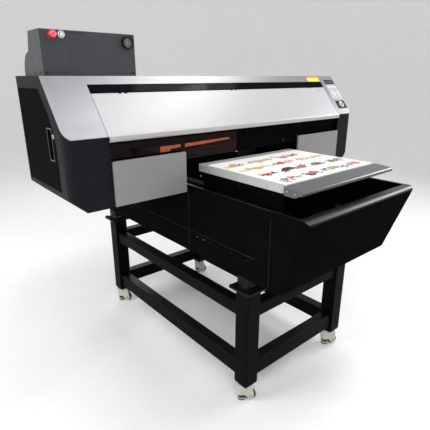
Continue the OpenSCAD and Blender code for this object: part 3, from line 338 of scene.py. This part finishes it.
def polygon(sides, radius, centre=(0.0, 0.0), turn=0.0):
    """Outline of a regular polygon, or of a circle where it has many sides."""
    return [(centre[0] + radius * math.cos(turn + 2 * math.pi * i / sides),
             centre[1] + radius * math.sin(turn + 2 * math.pi * i / sides)) for i in range(sides)]


def ribbed(ribs, low, high):
    """Outline of a ribbed round, with four points for each rib."""
    points = []
    for i in range(4 * ribs):
        a = math.pi * i / (2 * ribs)
        radius = high if i % 4 in (1, 2) else low
        points.append((radius * math.cos(a), radius * math.sin(a)))
    return points


def prism(bm, place, outline, height, base=0.0):
    """Closed plate over an outline, added to bm."""
    low = [bm.verts.new(place @ Vector((x, y, base))) for x, y in outline]
    high = [bm.verts.new(place @ Vector((x, y, base + height))) for x, y in outline]
    bm.faces.new(low[::-1])
    bm.faces.new(high)
    for i in range(len(low)):
        j = (i + 1) % len(low)
        bm.faces.new((low[i], low[j], high[j], high[i]))


def framed(bm, place, outer, inner, height, base=0.0):
    """Closed frame between two outlines with as many points each."""
    rings = [[bm.verts.new(place @ Vector((x, y, z))) for x, y in outline]
             for outline, z in ((outer, base), (outer, base + height), (inner, base + height), (inner, base))]
    for a, b in zip(rings, rings[1:] + rings[:1]):
        for i in range(len(a)):
            j = (i + 1) % len(a)
            bm.faces.new((a[i], a[j], b[j], b[i]))


def turned(bm, place, profile, steps=32):
    """Turned solid. The profile's points are (radius, height) or (radius, height, sides of a polygon)."""
    rows = []
    for point in profile:
        radius, z = point[:2]
        sides = point[2] if len(point) > 2 else 0
        if radius == 0:
            rows.append([bm.verts.new(place @ Vector((0, 0, z)))])
            continue
        row = []
        for i in range(steps):
            a = 2 * math.pi * i / steps
            r = radius
            if sides:
                half = math.pi / sides
                r = radius * math.cos(half) / math.cos((a % (2 * half)) - half)
            row.append(bm.verts.new(place @ Vector((r * math.cos(a), r * math.sin(a), z))))
        rows.append(row)
    for a, b in zip(rows, rows[1:]):
        for i in range(steps):
            j = (i + 1) % steps
            if len(a) == 1:
                bm.faces.new((a[0], b[j], b[i]))
            elif len(b) == 1:
                bm.faces.new((a[i], a[j], b[0]))
            else:
                bm.faces.new((a[i], a[j], b[j], b[i]))


def piece(name, bm, material, body, bevel=0.0):
    """Makes a piece of bm that rides a body; its corners are sharp above SHARP_ANGLE."""
    bmesh.ops.recalc_face_normals(bm, faces=bm.faces)
    mesh = bpy.data.meshes.new(name)
    bm.to_mesh(mesh)
    bm.free()
    for p in mesh.polygons:
        p.use_smooth = True
    mesh.set_sharp_from_angle(angle=SHARP_ANGLE)
    mesh.materials.append(material)
    obj = bpy.data.objects.new(name, mesh)
    bpy.context.scene.collection.objects.link(obj)
    if bevel:
        soften = obj.modifiers.new("soften", "BEVEL")
        soften.width = bevel
        soften.segments = 2
        soften.limit_method = "ANGLE"
        soften.angle_limit = SHARP_ANGLE
    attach(obj, body)


def socket_screw(bm, place, radius):
    """Button head with a hexagon socket."""
    h = radius * 0.62
    turned(bm, place, [(0, -0.0002), (radius, -0.0002), (radius, h * 0.35), (radius * 0.86, h * 0.78),
                       (radius * 0.58, h), (radius * 0.5, h, 6), (radius * 0.5, h * 0.35, 6), (0, h * 0.3)], 24)


def hex_bolt(bm, place, radius):
    """Hexagon head on a washer."""
    turned(bm, place, [(0, 0), (radius * 1.35, 0), (radius * 1.35, radius * 0.2), (radius * 1.02, radius * 0.2),
                       (radius, radius * 0.2, 6), (radius, radius * 0.82, 6), (radius * 0.8, radius * 0.95),
                       (0, radius * 0.95)], 24)


# ------------------------------------------------------------------ control panel and lid


DISPLAY_Y = -0.046                  # the display and the key pad, from the slope's top edge
MEMBRANE_Y = -0.117
KEY_ROWS = (-0.112, -0.127, -0.142)
PATCH_WIDTH = 0.115


def make_control_panel():
    """Membrane, display, keys and lamps, the start button's frame and ring, and the plain colour patches."""
    black, key = SLOTS["fitting_black"], EXTRAS["key"]
    at = slope(START_X, 0)
    down = (slope(0, 0).inverted() @ ((start_lo + start_hi) / 2)).y      # start button, below the top edge

    bm = bmesh.new()
    prism(bm, at, rounded(0.104, 0.106, 0.006, (0, MEMBRANE_Y)), 0.0004)
    piece("panel_membrane", bm, EXTRAS["membrane"], "root")
    bm = bmesh.new()
    framed(bm, at, rounded(0.086, 0.032, 0.005, (0, DISPLAY_Y)), rounded(0.074, 0.020, 0.002, (0, DISPLAY_Y)),
           0.0012)
    piece("display_bezel", bm, black, "root", 0.0003)
    bm = bmesh.new()
    prism(bm, at, rounded(0.0775, 0.0235, 0.0025, (0, DISPLAY_Y)), 0.0011, -0.0009)
    piece("display_glass", bm, EXTRAS["screen"], "root", 0.0002)

    bm = bmesh.new()
    for i in range(4):
        prism(bm, at, rounded(0.017, 0.011, 0.002, (-0.0345 + 0.023 * i, -0.083)), 0.0011, 0.0003)
    top, middle, bottom = KEY_ROWS
    for x, y in ((0, top), (0, bottom), (-0.019, middle), (0.019, middle), (0, middle)):
        prism(bm, at, rounded(0.014, 0.011, 0.004, (x - 0.014, y)), 0.0011, 0.0003)
    for y in KEY_ROWS:
        prism(bm, at, rounded(0.018, 0.010, 0.003, (0.038, y)), 0.0011, 0.0003)
    piece("panel_keys", bm, key, "root", 0.0004)
    bm = bmesh.new()
    for i in range(3):
        turned(bm, at @ Matrix.Translation((0.028 + 0.010 * i, -0.0665, 0.0003)),
               [(0, 0), (0.0020, 0), (0.0020, 0.0004), (0.0012, 0.0010), (0, 0.0012)], 16)
    piece("panel_lamps", bm, EXTRAS["dot_blue"], "root")

    # Frame and ring round the start button, and the mark on its face
    bm = bmesh.new()
    steps = 24
    outer = rounded(0.088, 0.055, 0.005, (0, down), steps // 4 - 1)
    inner = polygon(steps, 0.0205, (0, down), math.pi / steps)
    framed(bm, at, outer, inner, 0.0022)
    piece("start_frame", bm, black, "root", 0.0006)
    bm = bmesh.new()
    turned(bm, at @ Matrix.Translation((0, down, 0)),
           [(0.0146, 0), (0.0210, 0), (0.0210, 0.0028), (0.0196, 0.0042), (0.0158, 0.0042), (0.0146, 0.0034),
            (0.0146, 0)], 48)
    piece("start_ring", bm, SLOTS["machine_steel"], "root")
    bm = bmesh.new()
    prism(bm, at @ Matrix.Translation((0, down, 0)), polygon(3, 0.0115), 0.0005, 0.0029)
    piece("start_mark", bm, black, "start_button", 0.0002)

    # Plain coloured patches on the strip, and the lid's marker
    bm = bmesh.new()
    patch_x = lid_hi.x - 0.060
    prism(bm, slope(patch_x, 0.026), rounded(PATCH_WIDTH, 0.026, 0.002), 0.0003)
    piece("patch_yellow", bm, EXTRAS["label_yellow"], "root")
    bm = bmesh.new()
    prism(bm, slope(patch_x, 0.0065), rounded(PATCH_WIDTH, 0.009, 0.002), 0.0003)
    piece("patch_orange", bm, EXTRAS["label_orange"], "root")
    bm = bmesh.new()
    lid_top = -(slope(0, 0).inverted() @ Vector((0, lid_hi.y, lid_hi.z))).y
    turned(bm, slope(patch_x, lid_top + 0.023),
           [(0, -0.0001), (0.0055, -0.0001), (0.0055, 0.0003), (0.0046, 0.0008), (0, 0.0009)], 24)
    piece("lid_marker", bm, EXTRAS["dot_blue"], "lid")


# ------------------------------------------------------------------ control cabinet


GAUGE_RADIUS = 0.024


def make_cabinet():
    """The gauge's dial, ticks, bezel and glass, the buttons' rings, lamps, a blank plate and screws."""
    front = cabinet_lo.y
    needle = joints["gauge_needle_turn"]["pos_m"]
    at = facing("front", (needle[0], front, needle[2]))
    r = GAUGE_RADIUS
    bm = bmesh.new()
    turned(bm, at @ Matrix.Translation((0, 0, 0.0029)),
           [(0, 0), (r - 0.0052, 0), (r - 0.0052, 0.0012), (0, 0.0012)], 48)
    piece("gauge_dial", bm, EXTRAS["dial"], "root")
    bm = bmesh.new()
    for i in range(31):
        long = i % 5 == 0
        tick = at @ Matrix.Rotation(math.radians(-135 + 9 * i), 4, "Z")
        prism(bm, tick, rounded(0.0009 if long else 0.0005, 0.0038 if long else 0.0022, 0.0002,
                                (0, r - 0.0080 if long else r - 0.0072), 1), 0.0002, 0.0041)
    piece("gauge_ticks", bm, SLOTS["fitting_black"], "root")
    bm = bmesh.new()
    turned(bm, at, [(r - 0.0052, 0.0105), (r + 0.0002, 0.0105), (r + 0.0010, 0.0120), (r + 0.0004, 0.0142),
                    (r - 0.0024, 0.0150), (r - 0.0046, 0.0138), (r - 0.0052, 0.0105)], 64)
    piece("gauge_bezel", bm, SLOTS["fitting_black"], "root")
    bm = bmesh.new()
    turned(bm, at @ Matrix.Translation((0, 0, 0.0108)),
           [(0, 0), (r - 0.0051, 0), (r - 0.0051, 0.0010), (0.010, 0.0014), (0, 0.0015)], 48)
    piece("gauge_glass", bm, EXTRAS["clear_glass"], "root")

    # Rings round the emergency stop and the power button, and a lighter pink ring on the stop's cap
    stop_lo, stop_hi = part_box("estop_button")
    power_lo, power_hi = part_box("power_button")
    stop = facing("front", ((stop_lo.x + stop_hi.x) / 2, front, (stop_lo.z + stop_hi.z) / 2))
    power = facing("front", ((power_lo.x + power_hi.x) / 2, front, (power_lo.z + power_hi.z) / 2))
    bm = bmesh.new()
    turned(bm, stop, [(0.0100, 0), (0.0160, 0), (0.0160, 0.0012), (0.0152, 0.0020), (0.0100, 0.0020),
                      (0.0100, 0)], 48)
    piece("estop_plate", bm, SLOTS["estop_red"], "root")
    out = front - stop_lo.y
    bm = bmesh.new()
    turned(bm, stop @ Matrix.Translation((0, 0, out - 0.0016)),
           [(0.0050, 0), (0.0090, 0), (0.0090, 0.0008), (0.0084, 0.0014), (0.0056, 0.0016), (0.0050, 0.0010),
            (0.0050, 0)], 40)
    piece("estop_ring", bm, EXTRAS["ring_pink"], "estop_button")
    bm = bmesh.new()
    turned(bm, power, [(0.0090, 0.0050), (0.0106, 0.0050), (0.0106, 0.0), (0.0126, 0.0), (0.0126, 0.0052),
                       (0.0114, 0.0062), (0.0096, 0.0062), (0.0090, 0.0058), (0.0090, 0.0050)], 40)
    piece("power_ring", bm, EXTRAS["key"], "root")

    # Row of small lamps, a blank cover plate and the screws that hold the case
    bm = bmesh.new()
    for i in range(5):
        turned(bm, facing("front", (power_hi.x + 0.019 + 0.017 * i, front, cabinet_hi.z - 0.0075)),
               [(0, -0.0002), (0.0030, -0.0002), (0.0030, 0.0006), (0.0020, 0.0015), (0, 0.0018)], 20)
    piece("cabinet_lamps", bm, SLOTS["fitting_black"], "root")
    bm = bmesh.new()
    plate = facing("front", ((cabinet_lo.x + cabinet_hi.x) / 2, front, (cabinet_lo.z + cabinet_hi.z) / 2))
    framed(bm, plate, rounded(0.176, 0.048, 0.004), rounded(0.170, 0.042, 0.003), 0.0004)
    prism(bm, plate, rounded(0.1685, 0.0405, 0.003), 0.0005)
    piece("cabinet_plate", bm, SLOTS["cabinet_slate"], "root", 0.0002)
    bm = bmesh.new()
    for x in (cabinet_lo.x + 0.014, cabinet_hi.x - 0.014):
        socket_screw(bm, facing("front", (x, front, cabinet_lo.z + 0.012)), 0.0035)
    for y in (front + 0.03, front + 0.09):
        for side, x in (("left", cabinet_lo.x), ("right", cabinet_hi.x)):
            socket_screw(bm, facing(side, (x, y, cabinet_lo.z + 0.012)), 0.0035)
    piece("cabinet_screws", bm, SLOTS["fitting_black"], "root")


# ------------------------------------------------------------------ side doors and shield


SEAL_DEPTH = 0.0052                 # from a side door's outer face to its seal


def make_side_doors():
    """Grey bezel and grip of each flush pull, collar of each lock, seal round each door's inner face."""
    for side, sign in (("left", -1), ("right", 1)):
        face_x = -sign * (cap_lo.x + DOOR_INSET)
        body = "side_door_" + side
        pull = facing(side, (face_x, door_lo.y + 0.058, door_lo.z + 0.175))
        lock_at = joints["side_lock_" + side + "_turn"]["pos_m"]
        bm = bmesh.new()
        framed(bm, pull, rounded(0.0480, 0.126, 0.006, steps=6), rounded(0.0425, 0.1155, 0.003, steps=6),
               0.0018)
        piece("pull_bezel_" + side, bm, SLOTS["bar_grey"], body, 0.0006)
        bm = bmesh.new()
        prism(bm, pull, rounded(0.009, 0.114, 0.003, (sign * -0.0160, 0)), 0.0015, -0.004)
        piece("pull_grip_" + side, bm, SLOTS["fitting_black"], body, 0.0005)
        bm = bmesh.new()
        turned(bm, facing(side, (face_x, lock_at[1], lock_at[2])),
               [(0.0081, 0), (0.0094, 0), (0.0094, 0.0007), (0.0090, 0.0014), (0.0081, 0.0014),
                (0.0081, 0)], 40)
        piece("lock_ring_" + side, bm, SLOTS["machine_steel"], body)
        bm = bmesh.new()
        back, front, low, top = door_hi.y, door_lo.y, door_lo.z, door_hi.z
        outline = [(back - 0.030, low + 0.013), (back - 0.030, top - 0.013), (front + 0.126, top - 0.013),
                   (front + 0.044, top - 0.109), (front + 0.012, top - 0.141), (front + 0.012, low + 0.013)]
        inner = [(back - 0.036, low + 0.019), (back - 0.036, top - 0.019), (front + 0.129, top - 0.019),
                 (front + 0.049, top - 0.112), (front + 0.018, top - 0.143), (front + 0.018, low + 0.019)]
        place = Matrix(((0, 0, -sign, face_x - sign * SEAL_DEPTH), (1, 0, 0, 0), (0, 1, 0, 0), (0, 0, 0, 1)))
        framed(bm, place, outline, inner, 0.0025)
        piece("door_seal_" + side, bm, SLOTS["belt_rubber"], body)


# Outlines as fractions of the shield's width and height
SHIELD_TAB = ((0.35, 0.44), (0.42, 0.44), (0.43, 0.53), (0.505, 0.56), (0.505, 0.68), (0.35, 0.68))
SHIELD_STRIP = ((0.54, 0.53), (0.925, 0.645), (0.925, 0.735), (0.54, 0.685))


def make_shield():
    """Orange tab and tapered strip in front of the dark shield, the fascia's screws and its catch."""
    front = shield_lo.y
    at = facing("front", (shield_lo.x, front, shield_lo.z))
    bm = bmesh.new()
    across, up = shield_hi.x - shield_lo.x, shield_hi.z - shield_lo.z
    for outline in (SHIELD_TAB, SHIELD_STRIP):
        prism(bm, at, [(u * across, v * up) for u, v in outline], 0.0012)
    piece("shield_strips", bm, EXTRAS["orange"], "root", 0.0003)
    bm = bmesh.new()
    for count, left, right, out in ((5, shield_lo.x, shield_hi.x, 0.0), (6, shield_hi.x, lid_hi.x, 0.001)):
        for i in range(count):
            x = left + (right - left) * (i + 0.5) / count
            socket_screw(bm, facing("front", (x, front - out, shield_hi.z - 0.009)), 0.0035)
    piece("fascia_screws", bm, SLOTS["fitting_black"], "root")
    bm = bmesh.new()
    turned(bm, facing("front", (shield_hi.x + 0.340, front - 0.001, shield_lo.z + 0.022)),
           [(0, 0), (0.0085, 0), (0.0085, 0.0030), (0.0070, 0.0048), (0.0035, 0.0048), (0.0030, 0.0036),
            (0, 0.0034)], 32)
    piece("fascia_catch", bm, SLOTS["dark_steel"], "root")


# ------------------------------------------------------------------ printed sheet


INK = 0.00012                       # thickness of a printed motif


def petals(bm, at, count, radius, fat):
    """Pointed petals round a middle."""
    for i in range(count):
        turn = at @ Matrix.Rotation(2 * math.pi * i / count, 4, "Z")
        side = [(radius * (0.15 + 0.85 * k / 7), radius * fat * math.sin(math.pi * k / 7)) for k in range(8)]
        prism(bm, turn, side + [(x, -y) for x, y in side[6:0:-1]], INK)


def sprig(bm, at, length, leaves):
    """Stem with a pair of leaves at each step."""
    prism(bm, at, [(-length / 2, -0.0011), (length / 2, -0.0007), (length / 2, 0.0007), (-length / 2, 0.0011)],
          INK)
    for i in range(leaves):
        x = length * ((i + 0.5) / leaves - 0.5)
        for side in (-1, 1):
            leaf = at @ Matrix.Translation((x, 0, 0)) @ Matrix.Rotation(side * 1.0, 4, "Z")
            petals(bm, leaf, 1, length / leaves * 1.15, 0.34)


def ring_of(bm, at, radius, width):
    """Flat ring."""
    framed(bm, at, polygon(20, radius), polygon(20, radius - width), INK)


PRINT_MARGIN = 0.030                # bare edge of the board, and half the bare band at its back
SHORTEST_RUN = 0.050
RUN_LENGTHS = (0.080, 0.170)
RUN_GAPS = (0.022, 0.045)
MOTIF_PITCH = 0.021
MOTIF_STRAY = 0.014                 # most that a motif sits off its row
ROW_INKS = ("olive yellow rust red", "red yellow rust olive", "red black", "black rust yellow red")


def runs(rng, left, right):
    """Spans of motifs with bare gaps between them, from one side of the board to the other."""
    while right - left > SHORTEST_RUN:
        end = min(left + rng.uniform(*RUN_LENGTHS), right)
        yield left, end
        left = end + rng.uniform(*RUN_GAPS)


def make_print():
    """Evenly spaced rows of simple flowers, sprigs, buds and rings, one piece for each ink."""
    rng = random.Random(7)
    meshes = {}
    pitch = (print_hi.y - print_lo.y - PRINT_MARGIN) / len(ROW_INKS)
    for row, inks in enumerate(ROW_INKS):
        back = PRINT_MARGIN + pitch * (row + 0.5)
        for left, right in runs(rng, print_lo.x + PRINT_MARGIN, print_hi.x - PRINT_MARGIN):
            ink_pair = rng.sample(inks.split(), 2)
            count = max(2, round((right - left) / MOTIF_PITCH))
            for i in range(count):
                bm = meshes.setdefault(rng.choice(ink_pair), bmesh.new())
                x = left + (right - left) * (i + 0.5) / count
                y = print_hi.y - back + rng.uniform(-MOTIF_STRAY, MOTIF_STRAY)
                at = Matrix.Translation((x, y, PRINT_TOP - 0.00002 + 0.00001 * (i % 7)))
                at = at @ Matrix.Rotation(rng.uniform(0, 6.28), 4, "Z")
                kind = rng.choice(("flower", "flower", "sprig", "sprig", "buds", "ring"))
                if kind == "flower":
                    petals(bm, at, rng.choice((5, 6)), rng.uniform(0.020, 0.027), 0.34)
                    prism(bm, at, polygon(12, 0.0052), 0.00016)
                elif kind == "sprig":
                    sprig(bm, at, rng.uniform(0.042, 0.054), rng.choice((3, 4)))
                elif kind == "buds":
                    for k in range(3):
                        dot = at @ Matrix.Rotation(2.1 * k, 4, "Z") @ Matrix.Translation((0.0105, 0, 0))
                        prism(bm, dot, polygon(14, rng.uniform(0.0072, 0.0094)), INK)
                else:
                    ring_of(bm, at, rng.uniform(0.0130, 0.0170), 0.0058)
    for ink, bm in meshes.items():
        piece("print_" + ink, bm, EXTRAS["ink_" + ink], "bed_table")


# ------------------------------------------------------------------ stand and casters


CORNERS = ("front_left", "front_right", "back_left", "back_right")
BOLT_OFFSETS = (-0.051, 0.051)      # from a leg's middle to the bolts of its head plate
AXLE_END = 0.0219                   # from a wheel's middle, along its axle
HUB_FACE = 0.0108


def make_stand():
    """Bolts and washers on the head plates of the legs."""
    plate_z = legs_hi.z + 0.009
    bolts, washers = bmesh.new(), bmesh.new()
    for name in CORNERS:
        x, y, _ = joints["swivel_" + name + "_turn"]["pos_m"]
        for dx in BOLT_OFFSETS:
            for dy in BOLT_OFFSETS:
                hex_bolt(bolts, Matrix.Translation((x + dx, y + dy, plate_z)), 0.0062)
        turned(washers, Matrix.Translation((x, y, plate_z + 0.0078)),
               [(0, 0), (0.030, 0), (0.0325, 0.0008), (0.0325, 0.0030), (0.030, 0.0040), (0, 0.0040)], 48)
    piece("stand_bolts", bolts, SLOTS["dark_steel"], "root")
    piece("stand_washers", washers, SLOTS["machine_steel"], "root")


def make_casters():
    """Axle ends and hubs of the wheels, and the ribbed dial of each levelling pad."""
    for name in CORNERS:
        axle = joints["wheel_" + name + "_spin"]
        along = Vector(axle["axis"]).normalized()
        middle = Vector(axle["pos_m"])
        caps, hubs = bmesh.new(), bmesh.new()
        for sign in (-1, 1):
            turn = (along * sign).to_track_quat("Z", "Y").to_matrix().to_4x4()
            turned(caps, Matrix.Translation(middle + along * sign * AXLE_END) @ turn,
                   [(0, 0), (0.0088, 0), (0.0088, 0.0010), (0.0066, 0.0014), (0.0064, 0.0014, 6),
                    (0.0064, 0.0044, 6), (0.0048, 0.0054), (0, 0.0054)], 24)
            turned(hubs, Matrix.Translation(middle + along * sign * HUB_FACE) @ turn,
                   [(0.0042, 0.0), (0.0165, 0.0), (0.0165, 0.0010), (0.0150, 0.0018), (0.0100, 0.0008),
                    (0.0070, 0.0020), (0.0042, 0.0020), (0.0042, 0.0)], 40)
        piece("axle_caps_" + name, caps, SLOTS["machine_steel"], "swivel_" + name)
        piece("wheel_hubs_" + name, hubs, SLOTS["caster_ivory"], "wheel_" + name)

        pad_lo, pad_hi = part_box("pad_" + name)
        pad = Matrix.Translation(((pad_lo.x + pad_hi.x) / 2, (pad_lo.y + pad_hi.y) / 2, 0))
        bm = bmesh.new()
        outline = ribbed(22, 0.0172, 0.0188)
        inner = polygon(len(outline), 0.0149)
        framed(bm, pad, outline, inner, 0.0115, 0.0205)
        turned(bm, pad, [(0.0150, 0.0006), (0.0174, 0.0006), (0.0178, 0.0020), (0.0178, 0.0052),
                         (0.0166, 0.0064), (0.0150, 0.0064), (0.0150, 0.0006)], 40)
        piece("pad_dial_" + name, bm, SLOTS["wheel_rubber"], "pad_" + name, 0.0003)


# ------------------------------------------------------------------ back, inside and bed


VENT_X = 0.56                       # middle of the rear cover's air slots, on each side


def make_back():
    """Rear cover's screws and frames round its air slots, the inlet's pins, the base's screws and seams."""
    screws = bmesh.new()
    low, top = rear_lo.z + 0.019, rear_hi.z - 0.016
    for across, heights in (
            ((rear_lo.x + 0.018, -VENT_X, -0.42, 0.42, VENT_X, rear_hi.x - 0.024), (low, top)),
            ((rear_lo.x + 0.014, rear_hi.x - 0.016), (low + 0.118, low + 0.238, low + 0.348)),
            ((-0.2, 0.0, 0.2), (low + 0.188, top))):
        for x in across:
            for z in heights:
                socket_screw(screws, facing("back", (x, rear_hi.y, z)), 0.0045)
    piece("rear_screws", screws, SLOTS["fitting_black"], "root")
    guards = bmesh.new()
    for x in (-VENT_X, VENT_X):
        at = facing("back", (x, rear_hi.y, low + 0.277))
        framed(guards, at, rounded(0.176, 0.132, 0.010, steps=6), rounded(0.164, 0.120, 0.006, steps=6), 0.0022)
        for px in (-0.081, 0.081):
            for py in (-0.058, 0.058):
                socket_screw(guards, at @ Matrix.Translation((px, py, 0.002)), 0.0028)
    piece("fan_guards", guards, SLOTS["dark_steel"], "root", 0.0005)
    inlet_lo, inlet_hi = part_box("power_inlet")
    pins = bmesh.new()
    at = facing("back", ((inlet_lo.x + inlet_hi.x) / 2, inlet_hi.y, (inlet_lo.z + inlet_hi.z) / 2))
    for x, y in ((-0.007, -0.003), (0.007, -0.003), (0.0, 0.004)):
        prism(pins, at, rounded(0.0022, 0.0044, 0.0006, (x, y), 2), 0.016, -0.0225)
    piece("inlet_pins", pins, SLOTS["machine_steel"], "root")
    sides = bmesh.new()
    base_lo, base_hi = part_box("base_sides")
    for side, x in (("left", base_lo.x), ("right", base_hi.x)):
        for y in (base_lo.y + 0.025, -0.36, 0.0, 0.36, base_hi.y - 0.025):
            socket_screw(sides, facing(side, (x, y, base_lo.z + 0.018)), 0.0042)
            if y:                   # the gantry covers the upper one in the middle
                socket_screw(sides, facing(side, (x, y, base_hi.z - 0.033)), 0.0042)
    piece("base_screws", sides, SLOTS["base_paint"], "root")
    seams = bmesh.new()
    for side, x in (("left", base_lo.x), ("right", base_hi.x)):
        for y in (base_lo.y, cap_lo.y, base_hi.y):
            prism(seams, facing(side, (x, y, base_lo.z + 0.152)), rounded(0.0024, 0.286, 0.0006, steps=2),
                  0.0006, -0.0002)
    piece("base_seams", seams, SLOTS["dark_steel"], "root")


DAMPER_PITCH = 0.0332


def make_inside():
    """Ink dampers in the carriage with their feed tubes."""
    mid_x = (carriage_lo.x + carriage_hi.x) / 2
    dampers, caps, tubes = bmesh.new(), bmesh.new(), bmesh.new()
    for i in range(6):
        at = Matrix.Translation((mid_x + DAMPER_PITCH * (i - 2.5), carriage_lo.y + 0.062,
                                 carriage_lo.z + 0.0065))
        prism(dampers, at, rounded(0.026, 0.064, 0.005), 0.060)
        prism(dampers, at, rounded(0.020, 0.050, 0.004), 0.012, 0.060)
        turned(caps, at @ Matrix.Translation((0, -0.008, 0.072)),
               [(0, 0), (0.0075, 0), (0.0075, 0.006), (0.0060, 0.008), (0.0034, 0.008), (0.0030, 0.016),
                (0, 0.016)], 24)
        route = [Vector((0, -0.008, 0.088)), Vector((0, -0.004, 0.110)), Vector((0, 0.010, 0.128)),
                 Vector((0, 0.036, 0.132))]
        rings = []
        for k, point in enumerate(route):
            ahead = route[min(k + 1, 3)] - route[max(k - 1, 0)]
            turn = ahead.to_track_quat("Z", "Y").to_matrix().to_4x4()
            rings.append([tubes.verts.new(at @ Matrix.Translation(point) @ turn @ Vector((x, y, 0)))
                          for x, y in polygon(10, 0.0026)])
        for a, b in zip(rings, rings[1:]):
            for k in range(10):
                tubes.faces.new((a[k], a[(k + 1) % 10], b[(k + 1) % 10], b[k]))
        tubes.faces.new(rings[0][::-1])
        tubes.faces.new(rings[-1])
    piece("ink_dampers", dampers, EXTRAS["screen"], "print_carriage", 0.0012)
    piece("damper_caps", caps, EXTRAS["key"], "print_carriage", 0.0003)
    piece("ink_tubes", tubes, EXTRAS["tube"], "print_carriage")


def make_bed_details():
    """Screws in the edges of the table, the bar and the deck."""
    screws = bmesh.new()
    lo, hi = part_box("vacuum_table")
    for side, x in (("left", lo.x), ("right", hi.x)):
        for y in (lo.y + 0.082, lo.y + 0.252, lo.y + 0.422):
            socket_screw(screws, facing(side, (x, y, (lo.z + hi.z) / 2)), 0.0042)
    bar_lo, bar_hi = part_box("front_bar")
    for side, x in (("left", bar_lo.x), ("right", bar_hi.x)):
        socket_screw(screws, facing(side, (x, bar_hi.y - 0.014, bar_hi.z - 0.016)), 0.0038)
        socket_screw(screws, facing(side, (x, bar_lo.y + 0.030, bar_hi.z - 0.020)), 0.0038)
    piece("table_screws", screws, SLOTS["machine_steel"], "bed_table")
    deck_lo, deck_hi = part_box("bed_platform")
    deck = bmesh.new()
    for side, x in (("left", deck_lo.x), ("right", deck_hi.x)):
        for y in (deck_lo.y + 0.047, deck_lo.y + 0.237, deck_lo.y + 0.427):
            socket_screw(deck, facing(side, (x, y, deck_hi.z - 0.018)), 0.0042)
    piece("deck_screws", deck, SLOTS["dark_steel"], "bed_table")


make_control_panel()
make_cabinet()
make_side_doors()
make_shield()
make_print()
make_stand()
make_casters()
make_back()
make_inside()
make_bed_details()

# ------------------------------------------------------------------ stage, lights and camera

FLOOR_FLAT = 5.0
FLOOR_SWEEP = 3.0
BACKDROP_TOP = 7.0


def make_backdrop():
    """Pale floor that sweeps up into a round wall, so that no horizon shows from any side."""
    profile = [(0.0, 0.0), (FLOOR_FLAT, 0.0)]
    for i in range(1, 13):
        a = math.radians(90 * i / 12)
        profile.append((FLOOR_FLAT + FLOOR_SWEEP * math.sin(a), FLOOR_SWEEP * (1 - math.cos(a))))
    profile.append((FLOOR_FLAT + FLOOR_SWEEP, BACKDROP_TOP))
    bm = bmesh.new()
    rows = [[bm.verts.new((r, 0, z))] if r == 0 else
            [bm.verts.new((r * math.cos(t), r * math.sin(t), z))
             for t in (2 * math.pi * k / 96 for k in range(96))]
            for r, z in profile]
    for k in range(96):
        bm.faces.new((rows[0][0], rows[1][k], rows[1][(k + 1) % 96]))
    for low, high in zip(rows[1:], rows[2:]):
        for k in range(96):
            bm.faces.new((low[k], high[k], high[(k + 1) % 96], low[(k + 1) % 96]))
    mesh = bpy.data.meshes.new("backdrop")
    bm.to_mesh(mesh)
    bm.free()
    for p in mesh.polygons:
        p.use_smooth = True
    obj = bpy.data.objects.new("backdrop", mesh)
    bpy.context.scene.collection.objects.link(obj)
    mesh.materials.append(finish("backdrop", (0.90, 0.90, 0.90), 0.7, mottle=0.01, bump=0.02))


def make_light(name, place, target, width, height, watts):
    """Rectangular soft light, aimed at a target."""
    data = bpy.data.lights.new(name, "AREA")
    data.shape = "RECTANGLE"
    data.size = width
    data.size_y = height
    data.energy = watts
    light = bpy.data.objects.new(name, data)
    light.location = place
    light.rotation_mode = "QUATERNION"
    light.rotation_quaternion = (Vector(target) - Vector(place)).to_track_quat("-Z", "Y")
    bpy.context.scene.collection.objects.link(light)


CAMERA_PLACE = (-1.4191, -1.6538, 1.4366)
CAMERA_YAW = 40.32                  # degrees from +Y towards +X
CAMERA_PITCH = -18.98
CAMERA_LENS = 33.71                 # millimetres on a 36 mm sensor


def make_camera():
    """Camera at the photograph's viewing angle."""
    data = bpy.data.cameras.new("camera")
    data.sensor_width = 36.0
    data.lens = CAMERA_LENS
    camera = bpy.data.objects.new("camera", data)
    yaw, pitch = math.radians(CAMERA_YAW), math.radians(CAMERA_PITCH)
    look = Vector((math.sin(yaw) * math.cos(pitch), math.cos(yaw) * math.cos(pitch), math.sin(pitch)))
    camera.location = CAMERA_PLACE
    camera.rotation_mode = "QUATERNION"
    camera.rotation_quaternion = look.to_track_quat("-Z", "Y")
    bpy.context.scene.collection.objects.link(camera)
    bpy.context.scene.camera = camera


def make_world():
    """Even white fill from all round."""
    world = bpy.data.worlds.new("studio")
    world.use_nodes = True
    background = world.node_tree.nodes["Background"]
    background.inputs["Color"].default_value = (1.0, 1.0, 1.0, 1.0)
    background.inputs["Strength"].default_value = 0.42
    bpy.context.scene.world = world


make_backdrop()
make_world()
make_light("key", (-2.6, -3.0, 3.6), (0, 0, 0.9), 3.0, 2.0, 86.0)
make_light("top", (0.3, -1.4, 4.2), (0, -0.5, 1.0), 4.0, 0.16, 31.0)
make_light("left", (-4.2, 1.2, 2.4), (-0.5, 0, 1.1), 2.4, 2.4, 117.0)
make_light("sheen", (1.55, -0.7, 3.8), (0.0, -0.1, 1.2), 1.3, 1.1, 24.0)
make_light("rim", (3.3, -1.6, 2.4), (0.3, -0.9, 1.0), 1.8, 0.9, 48.0)
make_light("back", (2.2, 3.8, 3.0), (0, 0, 1.0), 3.0, 2.0, 40.0)
make_camera()
bpy.context.scene.view_settings.view_transform = "Standard"
